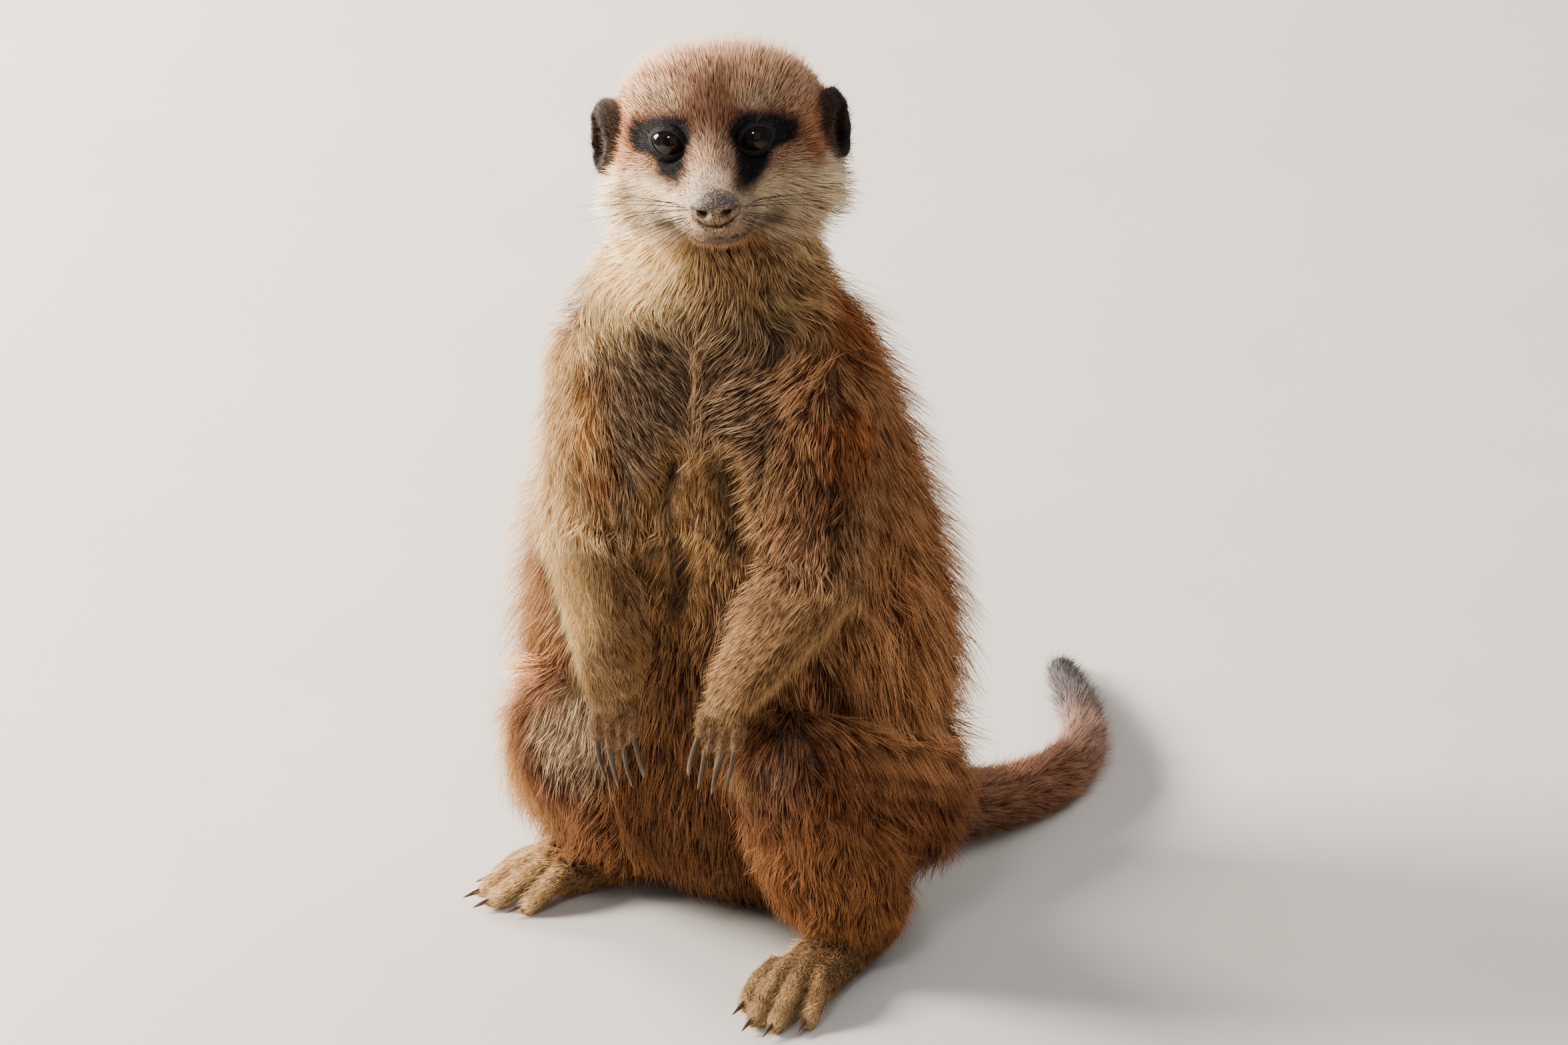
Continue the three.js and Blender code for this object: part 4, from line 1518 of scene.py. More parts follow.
class Coat:
    """All hair of the body, as closed three-sided spikes that lie along it."""

    seed = 11
    most = 190_000  # triangles in one piece
    guide_share = 0.12  # of all hairs, that lead a lock
    guards = 0.16  # share of hairs that stand higher than the rest
    guard_rise = (1.1, 1.9)  # of the pelt's own
    floor = 0.25  # lowest height of a hair's middle line
    short = 6.6  # below this length a hair is a single straight spike
    half = 0.48  # of a hair's length, from its root to its bend
    buried = 0.25  # depth of the roots
    gather = (0.35, 0.8)  # share of the lock's pull at the bend and at the tip
    stray = (0.02, 0.07)  # sideways error at the bend and at the tip, of the length
    patch = 0.003  # side of a hair's place in the unwrap

    def __init__(self, skin: Skin, finish: Material, amount: float = 1.0) -> None:
        """Keeps the skin to grow on.

        Args:
            skin: The finished skin.
            finish: Material of the hair.
            amount: Share of all hairs that is grown.
        """
        self.field = HairField(skin)
        self.finish = finish
        self.amount = amount
        self.draw = np.random.default_rng(self.seed)

    def comb(self, roots: Roots) -> tuple[Array, Array]:
        """Curve of each hair along the skin.

        Returns:
            Points on the skin below root, middle and tip, and the normals there.
        """
        turn = 0.22 * ripple(roots.points, 17.0, 21) + 0.13 * ripple(roots.points, 6.0, 22)
        head = self.field.body.is_region(roots.owners, Region.HEAD, Region.EAR)
        turn = (turn * np.where(head, 0.6, 1.0))[:, None]
        across = np.cross(roots.normals, roots.flow)
        flow = roots.flow * np.cos(turn) + across * np.sin(turn)
        half = self.half * roots.column("length")[:, None]
        points, normals = [roots.points], [roots.normals]
        for _ in range(2):
            ahead = points[-1] + flow * half
            ahead, above, flow = self.field.follow(ahead, normals[-1], flow)
            across = np.cross(above, flow)
            flow = flow * np.cos(turn) + across * np.sin(turn)
            points.append(ahead)
            normals.append(above)
        return np.array(points), np.array(normals)

    def lock(self, roots: Roots, points: Array, tone: Array) -> tuple[Array, Array]:
        """Draws hairs towards the nearest leading hair.

        Returns:
            The points, and the leading hair's own random number for each hair.
        """
        leads = np.flatnonzero(self.draw.uniform(0, 1, len(tone)) < self.guide_share)
        tree = tree_of(roots.points[leads])
        nearest = leads[np.array([tree.find(point)[1] for point in roots.points])]
        same = (roots.normals * roots.normals[nearest]).sum(1) > 0.4
        pull = (roots.column("lock") * same)[:, None]
        for level, share in enumerate(self.gather, 1):
            points[level] += share * pull * (points[level][nearest] - points[level])
        return points, tone[nearest]

    def spikes(self, roots: Roots) -> tuple[Array, Array, Array]:
        """Axis of every hair, with its side direction and its random number."""
        count = len(roots.points)
        tone = self.draw.uniform(0, 1, count)
        points, normals = self.comb(roots)
        points, lead_tone = self.lock(roots, points, tone)
        guard = self.draw.uniform(0, 1, count) < self.guards
        own = self.draw.uniform(0.4, 1.05, count) * (0.8 + 0.4 * lead_tone)
        own = np.where(guard, self.draw.uniform(*self.guard_rise, count), own) * roots.column("rise")
        rise = np.stack([np.full(count, -self.buried), 0.62 * own, own])
        points = points + normals * rise[:, :, None]
        length = roots.column("length")[:, None]
        stray = self.draw.normal(0, 1, (count, 1)) * np.cross(normals[0], roots.flow) * length
        for level, share in enumerate(self.stray, 1):
            points[level] += share * stray
        shorter = np.where(guard, -0.12, self.draw.uniform(0.0, 0.4, count))[:, None]
        points[2] += shorter * (points[1] - points[2])
        points[:, :, 2] = np.maximum(points[:, :, 2], self.floor)
        random = np.where(guard, 0.25, 0.55 * tone + 0.45 * lead_tone)
        return points, normals, random

    def grow(self) -> list[Object]:
        """Makes every piece of the coat."""
        roots = self.field.sample(self.amount, self.draw)
        hairs = SpikeBlock(roots, *self.spikes(roots))
        pieces = []
        for part in COAT_PIECES:
            pieces += self.grow_part(part, hairs)
        total = sum(len(piece.data.polygons) for piece in pieces)
        log.info("coat: %d hairs, %d triangles in all", len(roots.points), total)
        return pieces

    def grow_part(self, part: CoatPiece, hairs: "SpikeBlock") -> list[Object]:
        """Makes one part of the coat, split from side to side where it would be too large."""
        roots = hairs.roots
        index = np.flatnonzero(self.field.body.is_region(roots.owners, *part.regions))
        index = index[np.argsort(roots.points[index, 0], kind="stable")]
        short = roots.column("length")[index] < self.short
        cost = np.cumsum(np.where(short, 4, 6))
        halves = max(1, math.ceil(cost[-1] / self.most))
        edges = np.searchsorted(cost, np.linspace(0, cost[-1], halves + 1)[1:-1])
        pieces = []
        for number, chosen in enumerate(np.split(index, edges)):
            name = part.name if halves == 1 else f"{part.name}_{number + 1}"
            mesh = hairs.pick(chosen).mesh(name, self.short, self.patch)
            piece = new_object(name, mesh)
            mesh.materials.append(self.finish)
            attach(piece, "root")
            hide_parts(*self.nodes_of(part))
            log.info("%s: %d triangles", name, len(mesh.polygons))
            pieces.append(piece)
        return pieces

    def nodes_of(self, part: CoatPiece) -> list[str]:
        """Solids of flesh that the part covers."""
        regions = self.field.body.regions
        return [name for name, region in zip(FLESH, regions) if region in part.regions]


@dataclass
class SpikeBlock:
    """Turns the axes of hairs into one mesh of closed spikes."""

    roots: Roots
    points: Array
    normals: Array
    random: Array

    RIDGE = 0.42  # height of a hair's ridge, as a share of its width
    BEND = 0.45  # where along a hair it bends
    BENT = ((0, 2, 1), (0, 3, 2), (0, 1, 3), (1, 2, 4), (2, 3, 4), (3, 1, 4))
    STRAIGHT = ((0, 2, 1), (0, 1, 3), (1, 2, 3), (2, 0, 3))

    def pick(self, chosen: Array) -> "SpikeBlock":
        """The chosen hairs only."""
        points, normals = self.points[:, chosen], self.normals[:, chosen]
        return SpikeBlock(self.roots.pick(chosen), points, normals, self.random[chosen])

    def rings(self, chosen: Array, bent: bool) -> Array:
        """Corners of the chosen hairs, ring by ring, then the tip."""
        p, n = self.points[:, chosen], self.normals[:, chosen]
        along = unit(p[2] - p[0])
        side = unit(np.cross(along, n[0]))
        width = self.roots.column("width")[chosen][:, None]
        level = 1 if bent else 0
        ridge, reach = n[level] * width * self.RIDGE, side * width / 2
        corners = [p[0]] if bent else []
        corners += [p[level] - reach, p[level] + ridge, p[level] + reach, p[2]]
        return np.stack(corners, axis=1)

    def block(self, chosen: Array, bent: bool, patch: float) -> dict[str, Array]:
        """Vertices, faces, unwrap and attributes of the chosen hairs."""
        corners = self.rings(chosen, bent)
        count, size = corners.shape[:2]
        pattern = np.array(self.BENT if bent else self.STRAIGHT)
        starts = (np.arange(count) * size)[:, None, None]
        along = np.array([0, *[self.BEND] * 3, 1.0] if bent else [0, 0, 0, 1.0])
        across = np.array([0, -0.5, 0, 0.5, 0] if bent else [-0.5, 0, 0.5, 0])
        offset = np.stack([across, along - 0.5], axis=1) * patch
        return {
            "points": corners.reshape(-1, 3) * MM,
            "faces": (pattern[None] + starts).reshape(-1, 3),
            "uv": (self.roots.uv[chosen][:, None] + offset).reshape(-1, 2),
            "along": np.tile(along, count),
            "random": np.repeat(self.random[chosen], size),
            "pairs": np.repeat(self.roots.pairs[chosen], size, axis=0),
        }

    def mesh(self, name: str, short: float, patch: float) -> Mesh:
        """One mesh with the bent hairs first and the straight ones after them."""
        is_short = self.roots.column("length") < short
        bent = self.block(np.flatnonzero(~is_short), True, patch)
        straight = self.block(np.flatnonzero(is_short), False, patch)
        straight["faces"] = straight["faces"] + len(bent["points"])
        both = {key: np.concatenate([bent[key], straight[key]]) for key in bent}
        mesh = bpy.data.meshes.new(name)
        faces = both["faces"].astype(np.int32)
        mesh.vertices.add(len(both["points"]))
        mesh.vertices.foreach_set("co", both["points"].astype(np.float32).ravel())
        mesh.loops.add(faces.size)
        mesh.loops.foreach_set("vertex_index", faces.ravel())
        mesh.polygons.add(len(faces))
        mesh.polygons.foreach_set("loop_start", np.arange(len(faces), dtype=np.int32) * 3)
        mesh.update(calc_edges=True)
        mesh.shade_smooth()
        layer = mesh.uv_layers.new(name="OFBake")
        uv = np.clip(both["uv"], 0.0, 1.0)[faces.ravel()]
        layer.data.foreach_set("uv", uv.astype(np.float32).ravel())
        point_attribute(mesh, "along", both["along"])
        point_attribute(mesh, "random", both["random"])
        point_attribute(mesh, "hair_dark", both["pairs"][:, :3])
        point_attribute(mesh, "hair_pale", both["pairs"][:, 3:])
        return mesh


# ----------------------------
# Eyes, nose, claws and whiskers


class EyeAxes(Axes):
    """Axes of one eye: x to the animal's left, y into the skull, z up."""

    @classmethod
    def of(cls, side: str, outward: float = 7.0, lift: float = 8.0) -> "EyeAxes":
        """Axes of the eye on that side, turned outward and lifted by angles in degrees."""
        turn, rise = SIDES[side] * math.radians(outward), math.radians(lift)
        left, back, up = HEAD.axes
        x = left * math.cos(turn) + back * math.sin(turn)
        y = back * math.cos(turn) - left * math.sin(turn)
        y, z = y * math.cos(rise) - up * math.sin(rise), up * math.cos(rise) + y * math.sin(rise)
        return cls(EYES[side], np.array([x, y, z]))


class Eyeball:
    """A moist eye with its iris and pupil marked by the angle from the gaze."""

    outward = 2.2  # turn of the gaze to the animal's left, in degrees
    lift = 16.5  # of the gaze, in degrees
    slices, rings = 72, 56
    cornea = 0.25  # how far it stands out, in millimetres
    cornea_edge = (0.62, 0.2)  # angles from the gaze where it starts and is full

    def __init__(self, side: str, finish: Material) -> None:
        """Keeps the side it belongs to and its material."""
        self.side, self.finish = side, finish
        self.axes = EyeAxes.of(side, self.outward * SIDES[side], self.lift)

    def build(self) -> Object:
        """Makes the ball with a slightly raised cornea."""
        bm = bmesh.new()
        bmesh.ops.create_uvsphere(bm, u_segments=self.slices, v_segments=self.rings, radius=1.0)
        co = np.array([vert.co[:] for vert in bm.verts])
        gaze = np.arccos(np.clip(co[:, 2], -1.0, 1.0))
        sweep = np.arctan2(co[:, 1], co[:, 0])
        place = np.stack([co[:, 0], -co[:, 2], co[:, 1]], axis=1) * EYE.radius
        place[:, 1] -= self.cornea * fade(gaze, *self.cornea_edge)
        for vert, point in zip(bm.verts, self.axes.world(place) * MM):
            vert.co = point
        if self.flipped(bm):
            bmesh.ops.reverse_faces(bm, faces=bm.faces)
        piece = mesh_object(f"eyeball_{self.side}", bm)
        point_attribute(piece.data, "gaze", gaze)
        point_attribute(piece.data, "sweep", sweep)
        piece.data.materials.append(self.finish)
        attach(piece, "root")
        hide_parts(f"eye_{self.side}")
        log.info("eyeball_%s: %d faces", self.side, len(piece.data.polygons))
        return piece

    def flipped(self, bm: BMesh) -> bool:
        """True where the faces look into the ball."""
        bm.normal_update()
        face = max(bm.faces, key=lambda f: f.calc_area())
        middle_point = Vector(self.axes.origin * MM)
        return face.normal.dot(face.calc_center_median() - middle_point) < 0


class Tubes:
    """Thin closed tubes with a radius for each point of their paths."""

    def __init__(self, sides: int) -> None:
        """Starts an empty mesh of tubes with so many sides."""
        self.bm = bmesh.new()
        self.sides = sides

    def add(self, path: Array, radii: Array, closed: bool = False) -> None:
        """Adds one tube, whose ends are capped unless it closes on itself."""
        count = len(path)
        ahead = unit(np.roll(path, -1, axis=0) - np.roll(path, 1, axis=0))
        if not closed:
            ahead[0], ahead[-1] = unit(path[1] - path[0]), unit(path[-1] - path[-2])
        guide = np.array([0.31, 0.17, 0.94])
        across = unit(np.cross(ahead, guide))
        above = np.cross(across, ahead)
        rings = []
        for index in range(count):
            ring = []
            for step in range(self.sides):
                angle = math.tau * step / self.sides
                offset = math.cos(angle) * across[index] + math.sin(angle) * above[index]
                ring.append(self.bm.verts.new((path[index] + radii[index] * offset) * MM))
            rings.append(ring)
        pairs = list(zip(rings, rings[1:])) + ([(rings[-1], rings[0])] if closed else [])
        for low, high in pairs:
            for step in range(self.sides):
                following = (step + 1) % self.sides
                self.bm.faces.new((low[step], low[following], high[following], high[step]))
        if not closed:
            self.bm.faces.new(rings[0][::-1])
            self.bm.faces.new(rings[-1])

    def finish(self, name: str) -> Object:
        """The object, with its faces turned outward."""
        bmesh.ops.recalc_face_normals(self.bm, faces=self.bm.faces)
        return mesh_object(name, self.bm)


@dataclass(frozen=True)
class LidRims:
    """Bare dark rims of the lids, that lie on the eyeballs."""

    finish: Material

    radius = 0.3
    clearance = 0.1  # of its middle line from the ball
    corners = 72

    def build(self) -> Object:
        """Makes both rims as closed tubes."""
        tubes = Tubes(10)
        for side, sign in SIDES.items():
            around = np.linspace(-math.pi, math.pi, self.corners, endpoint=False)
            reach = EYE.opening(around)
            x, z = sign * reach * np.cos(around), reach * np.sin(around)
            ball = EYE.radius + self.clearance
            y = -np.sqrt(np.maximum(ball**2 - x**2 - z**2, 1.0))
            path = EyeAxes.of(side).world(np.stack([x, y, z], axis=1))
            tubes.add(path, np.full(len(path), self.radius), closed=True)
        piece = tubes.finish("lid_rims")
        piece.data.materials.append(self.finish)
        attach(piece, "root")
        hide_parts("head")
        log.info("lid_rims: %d faces", len(piece.data.polygons))
        return piece


@dataclass(frozen=True)
class NosePad:
    """The bare nose, with comma-shaped nostrils and a groove between them."""

    finish: Material

    half = (6.6, 4.4, 4.8)  # sizes from the middle, in millimetres
    lift = 0.1
    pebble_count = 1100
    pebble_height = 0.13
    seed = 23

    def pebbles(self, points: Array) -> Array:
        """Height from 0 to 1 of the small rounded cells that the pad's skin is made of."""
        draw = np.random.default_rng(self.seed)
        middles = points[draw.choice(len(points), self.pebble_count, replace=False)]
        tree = tree_of(middles)
        found = [[hit[2] for hit in tree.find_n(point, 2)] for point in points]
        first, second = np.array(found).T
        return fade(second - first, 0.0, 0.22)

    def build(self) -> Object:
        """Shapes a ball into the pad."""
        bm = bmesh.new()
        bmesh.ops.create_icosphere(bm, subdivisions=6, radius=1.0)
        co = np.array([vert.co[:] for vert in bm.verts])
        _, y, z = co.T
        narrow = 1.0 - 0.26 * fade(z, 0.1, -0.9) - 0.05 * fade(z, 0.4, 1.0)
        place = co * self.half
        place[:, 0] *= narrow
        place[:, 1] -= 0.7 * fade(z, -0.2, 0.7) * (y < 0)
        wide, tall = np.abs(place[:, 0]), place[:, 2]
        front = y < 0.1
        pit = np.exp(-(oval(wide, tall, (2.7, -0.7), (1.2, 1.05)) ** 2.4))
        slit = bell(tall + 0.35 - 0.34 * (wide - 3.0), 0.55)
        slit *= fade(wide, 3.0, 3.6) * fade(wide, 6.6, 5.4)
        groove = bell(wide, 0.42) * fade(tall, 1.8, -0.6)
        press = (2.4 * pit + 1.0 * slit + 0.55 * groove) * front
        wing = np.exp(-((oval(wide, tall, (3.2, 1.2), (2.2, 0.9)) - 0.2) ** 2) * 2.0) * 0.35
        place[:, 1] += press - wing * front
        grain = self.pebble_height * self.pebbles(place) * front
        place += co * (grain * (1.0 - pit))[:, None]
        place = HEAD.turn(place + (0.0, 0.0, self.lift)) + NOSE_PAD
        for vert, point in zip(bm.verts, place * MM):
            vert.co = point
        piece = mesh_object("nose_pad", bm)
        # The pit value darkens the nostrils in the nose material as painted shade.
        point_attribute(piece.data, "pit", np.clip(pit + 0.7 * slit, 0, 1) * front)
        point_attribute(piece.data, "low", fade(tall, 1.6, -0.6) * fade(wide, 7.4, 4.0))
        piece.data.materials.append(self.finish)
        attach(piece, "root")
        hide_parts("nose")
        log.info("nose_pad: %d faces", len(piece.data.polygons))
        return piece


@dataclass(frozen=True)
class Claws:
    """Curved claws of one paw, smoothed from their solids."""

    kind: str
    side: str
    finish: Material

    slimness = 0.8  # share of the solids' width that is left

    def build(self) -> Object:
        """Joins and smooths the claws of the paw."""
        paw = middle(f"{'forepaw' if self.kind == 'fore' else 'hind_foot'}_{self.side}")
        claws = ClawSolid.all_of(self.kind, self.side, paw)
        nodes = [claw.name for claw in claws]
        bm = bmesh.new()
        for name in nodes:
            merge(solid_part(name, 0.01), bm)
        bmesh.ops.recalc_face_normals(bm, faces=bm.faces)
        for vert in bm.verts:
            self.slim(vert, claws)
        piece = mesh_object(f"{self.kind}_claws_{self.side}", bm)
        points = points_of(piece.data)
        away = np.linalg.norm(points - paw, axis=1)
        nearest = np.array([self.claw_of(point, claws) for point in points])
        spans = np.array([(claw.away.min(), claw.away.max()) for claw in claws])[nearest]
        point_attribute(piece.data, "along", (away - spans[:, 0]) / np.ptp(spans, axis=1))
        smooth = piece.modifiers.new("smooth", "SUBSURF")
        smooth.levels = smooth.render_levels = 2
        piece.data.materials.append(self.finish)
        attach(piece, "root")
        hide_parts(*nodes)
        log.info("%s: %d faces before smoothing", piece.name, len(piece.data.polygons))
        return piece

    def slim(self, vert: bmesh.types.BMVert, claws: list[ClawSolid]) -> None:
        """Draws a point of a claw towards the claw's own middle line."""
        point = np.array(vert.co) / MM
        claw = claws[self.claw_of(point, claws)]
        root = claw.root()
        run = unit(claw.points[claw.away.argmax()] - root)
        foot = root + ((point - root) @ run) * run
        vert.co = Vector((foot + self.slimness * (point - foot)) * MM)

    @staticmethod
    def claw_of(point: Array, claws: list[ClawSolid]) -> int:
        """Number of the claw whose middle is nearest."""
        return int(np.argmin([np.linalg.norm(point - middle(claw.name)) for claw in claws]))


@dataclass(frozen=True)
class Whiskers:
    """Stiff dark hairs beside the nose and above the eyes."""

    field: HairField
    finish: Material

    seed = 5
    count = 13  # beside the nose, on each side

    def build(self) -> Object:
        """Makes all whiskers as thin tapered tubes."""
        draw = np.random.default_rng(self.seed)
        tubes = Tubes(5)
        for sign in SIDES.values():
            for number in range(self.count):
                row = number % 4
                place = np.array([
                    sign * (6.6 + 0.9 * (number // 4) + draw.uniform(-0.3, 0.3)),
                    -24.0 + 2.4 * (number // 4),
                    -13.2 - 1.5 * row + draw.uniform(-0.3, 0.3),
                ])
                aim = np.array([sign * 1.0, -0.05 + 0.22 * (number // 4), 0.1 - 0.22 * row])
                self.add(tubes, draw, place, aim, draw.uniform(22, 36) - 3.0 * row)
            for number in range(3):
                place = np.array([sign * (9.0 + 1.6 * number), -6.0, 7.5 + 0.6 * number])
                aim = np.array([sign * (0.35 + 0.2 * number), 0.1, 0.9])
                self.add(tubes, draw, place, aim, draw.uniform(12, 19))
        piece = tubes.finish("whiskers")
        piece.data.materials.append(self.finish)
        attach(piece, "root")
        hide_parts("head")
        log.info("whiskers: %d faces", len(piece.data.polygons))
        return piece

    def add(
        self, tubes: Tubes, draw: np.random.Generator, place: Array, aim: Array, length: float
    ) -> None:
        """Adds one whisker, rooted in the skin nearest to the place."""
        index = self.field.tree.find(HEAD.world(place))[1]
        root, normal = self.field.skin.points[index], self.field.skin.normals[index]
        ahead = unit(HEAD.turn(unit(aim)) + 0.35 * normal + 0.08 * draw.normal(size=3))
        t = np.linspace(0.0, 1.0, 9)[:, None]
        droop = np.array([0.0, 0.0, -1.0]) * 0.16 * t**2
        path = root - 0.4 * normal + length * (t * ahead + droop)
        tubes.add(path, 0.11 * (1.05 - t[:, 0] ** 1.3))


# ----------------------------
# Finishes


@dataclass(frozen=True)
class Graph:
    """Short way to add and join the nodes of one tree."""

    tree: NodeTree

    def node(self, kind: str, **settings: object) -> Node:
        """Adds a node and sets its properties."""
        made = self.tree.nodes.new(kind)
        for name, value in settings.items():
            setattr(made, name, value)
        return made

    def feed(self, socket: NodeSocket, value: object) -> None:
        """Joins an output to the socket, or sets the socket to a value."""
        if isinstance(value, NodeSocket):
            self.tree.links.new(value, socket)
        else:
            socket.default_value = value

    def attribute(self, name: str, output: str = "Fac") -> NodeSocket:
        """Value stored on the mesh."""
        return self.node("ShaderNodeAttribute", attribute_name=name).outputs[output]

    def maths(self, operation: str, a: object, b: object = 0.0) -> NodeSocket:
        """Result of one sum."""
        made = self.node("ShaderNodeMath", operation=operation, use_clamp=False)
        self.feed(made.inputs[0], a)
        self.feed(made.inputs[1], b)
        return made.outputs[0]

    def span(self, value: object, low: float, high: float) -> NodeSocket:
        """Smooth rise from 0 at low to 1 at high."""
        made = self.node("ShaderNodeMapRange", interpolation_type="SMOOTHSTEP")
        self.feed(made.inputs["Value"], value)
        made.inputs["From Min"].default_value = low
        made.inputs["From Max"].default_value = high
        return made.outputs["Result"]

    def mix(self, a: object, b: object, share: object, how: str = "MIX") -> NodeSocket:
        """Blend of two colours."""
        made = self.node("ShaderNodeMix", data_type="RGBA", blend_type=how)
        self.feed(made.inputs[0], share)
        self.feed(made.inputs[6], a)
        self.feed(made.inputs[7], b)
        return made.outputs[2]

    def over_object(self, kind: str, size: float) -> Node:
        """Texture over the object, with features of that size in millimetres."""
        place = self.node("ShaderNodeTexCoord").outputs["Object"]
        made = self.node(kind)
        self.feed(made.inputs["Vector"], place)
        made.inputs["Scale"].default_value = 1.0 / (size * MM)
        return made

    def noise(self, size: float, detail: float = 2.0) -> NodeSocket:
        """Noise over the object, with features of that size in millimetres."""
        made = self.over_object("ShaderNodeTexNoise", size)
        made.inputs["Detail"].default_value = detail
        return made.outputs["Fac"]

    def bump(self, height: NodeSocket, strength: float, reach: float) -> NodeSocket:
        """Normals of a surface with that height, which reaches so many millimetres."""
        made = self.node("ShaderNodeBump")
        made.inputs["Strength"].default_value = strength
        made.inputs["Distance"].default_value = reach * MM
        self.feed(made.inputs["Height"], height)
        return made.outputs["Normal"]

    def cells(self, size: float) -> NodeSocket:
        """Distance to the middles of small cells of that size in millimetres."""
        return self.over_object("ShaderNodeTexVoronoi", size).outputs["Distance"]


def colour(red: int, green: int, blue: int) -> tuple[float, float, float, float]:
    """A display colour as an opaque linear one."""
    return (*linear(red, green, blue), 1.0)


def new_group(name: str, inputs: dict[str, str], outputs: dict[str, str]) -> NodeTree:
    """An empty shader group with the named sockets, each with its type."""
    tree = bpy.data.node_groups.new(name, "ShaderNodeTree")
    for way, sockets in (("INPUT", inputs), ("OUTPUT", outputs)):
        for socket, kind in sockets.items():
            tree.interface.new_socket(socket, in_out=way, socket_type=kind)
    return tree


COLOUR, VALUE = "NodeSocketColor", "NodeSocketFloat"


class Finishes:
    """All materials of the animal and its floor."""

    def __init__(self) -> None:
        """Makes the shared groups first and the materials after them."""
        self.grizzle = self.grizzle_group()
        self.hair = self.hair_material()
        self.skin = self.skin_material()
        self.eye = self.eye_material()
        self.lid = self.plain_dark("lid_rim", colour(6, 5, 5), 0.85, 0.0)
        self.whisker = self.plain_dark("whisker", colour(12, 9, 8), 0.8, 0.0)
        self.nose = self.nose_material()
        self.claw = self.claw_material()
        self.floor = self.floor_material()

    @staticmethod
    def material(name: str) -> tuple[Material, Graph, Node]:
        """A new material, its graph and its Principled shader."""
        made = bpy.data.materials.new(name)
        made.use_nodes = True
        return made, Graph(made.node_tree), made.node_tree.nodes["Principled BSDF"]

    @staticmethod
    def grizzle_group() -> NodeTree:
        """Dark roots, pale tips and a few hairs that stay dark."""
        sockets = {"Dark": COLOUR, "Pale": COLOUR, "Along": VALUE, "Random": VALUE}
        tree = new_group("grizzle", sockets, {"Colour": COLOUR})
        g = Graph(tree)
        given, out = g.node("NodeGroupInput"), g.node("NodeGroupOutput")
        shift = g.maths("MULTIPLY", g.maths("SUBTRACT", given.outputs["Random"], 0.5), 0.35)
        tip = g.span(g.maths("SUBTRACT", given.outputs["Along"], shift), 0.3, 0.92)
        stays = g.maths("MULTIPLY", g.span(given.outputs["Random"], 0.7, 0.78), 0.7)
        share = g.maths("MULTIPLY", tip, g.maths("SUBTRACT", 1.0, stays))
        blended = g.mix(given.outputs["Dark"], given.outputs["Pale"], share)
        g.feed(out.inputs["Colour"], blended)
        return tree

    def hair_material(self) -> Material:
        """Dry hair, coloured by the animal's markings."""
        made, g, shader = self.material("hair")
        group = g.node("ShaderNodeGroup", node_tree=self.grizzle)
        g.feed(group.inputs["Dark"], g.attribute("hair_dark", "Color"))
        g.feed(group.inputs["Pale"], g.attribute("hair_pale", "Color"))
        g.feed(group.inputs["Along"], g.attribute("along"))
        g.feed(group.inputs["Random"], g.attribute("random"))
        g.feed(shader.inputs["Base Color"], group.outputs["Colour"])
        shader.inputs["Roughness"].default_value = 0.6
        shader.inputs["Specular IOR Level"].default_value = 0.07
        return made

    def skin_material(self) -> Material:
        """Short underfur in the same markings, with a fine bump."""
        made, g, shader = self.material("underfur")
        fine, coarse = g.noise(0.5, 3.0), g.noise(2.4)
        share = g.maths("MULTIPLY", g.span(fine, 0.35, 0.7), 0.45)
        ground = g.mix(g.attribute("hair_dark", "Color"), g.attribute("hair_pale", "Color"), share)
        shade = g.mix(ground, colour(30, 20, 14), g.maths("MULTIPLY", coarse, 0.3))
        g.feed(shader.inputs["Base Color"], shade)
        shader.inputs["Roughness"].default_value = 0.85
        g.feed(shader.inputs["Normal"], g.bump(fine, 0.6, 0.25))
        return made

    def eye_material(self) -> Material:
        """Dark iris with fine spokes round a wide pupil, under a wet coat."""
        made, g, shader = self.material("eye")
        gaze, sweep = g.attribute("gaze"), g.attribute("sweep")
        spokes = g.node("ShaderNodeTexNoise", noise_dimensions="2D")
        vector = g.node("ShaderNodeCombineXYZ")
        g.feed(vector.inputs[0], g.maths("MULTIPLY", gaze, 3.0))
        g.feed(vector.inputs[1], g.maths("MULTIPLY", sweep, 9.0))
        g.feed(spokes.inputs["Vector"], vector.outputs[0])
        spokes.inputs["Scale"].default_value = 1.6
        iris = g.mix(colour(9, 6, 5), colour(26, 15, 9), spokes.outputs["Fac"])
        below = g.span(g.maths("SINE", sweep), 0.1, -0.75)
        iris = g.mix(iris, colour(50, 32, 20), g.maths("MULTIPLY", below, 0.6))
        flat = g.maths("MULTIPLY", g.maths("ABSOLUTE", g.maths("SINE", sweep)), 0.08)
        pupil = g.span(g.maths("ADD", gaze, flat), 0.37, 0.31)
        ring = g.maths("MULTIPLY", g.span(gaze, 0.47, 0.54), 0.9)
        shade = g.mix(iris, colour(8, 5, 4), ring)
        shade = g.mix(shade, colour(2, 2, 2), pupil)
        shade = g.mix(shade, colour(24, 16, 12), g.span(gaze, 0.56, 0.64))
        shade = g.mix(shade, colour(60, 46, 34), g.span(gaze, 0.78, 0.94))
        g.feed(shader.inputs["Base Color"], shade)
        shader.inputs["Roughness"].default_value = 0.3
        shader.inputs["Specular IOR Level"].default_value = 0.0
        shader.inputs["Coat Weight"].default_value = 1.0
        shader.inputs["Coat Roughness"].default_value = 0.02
        shader.inputs["Coat IOR"].default_value = 1.36
        return made

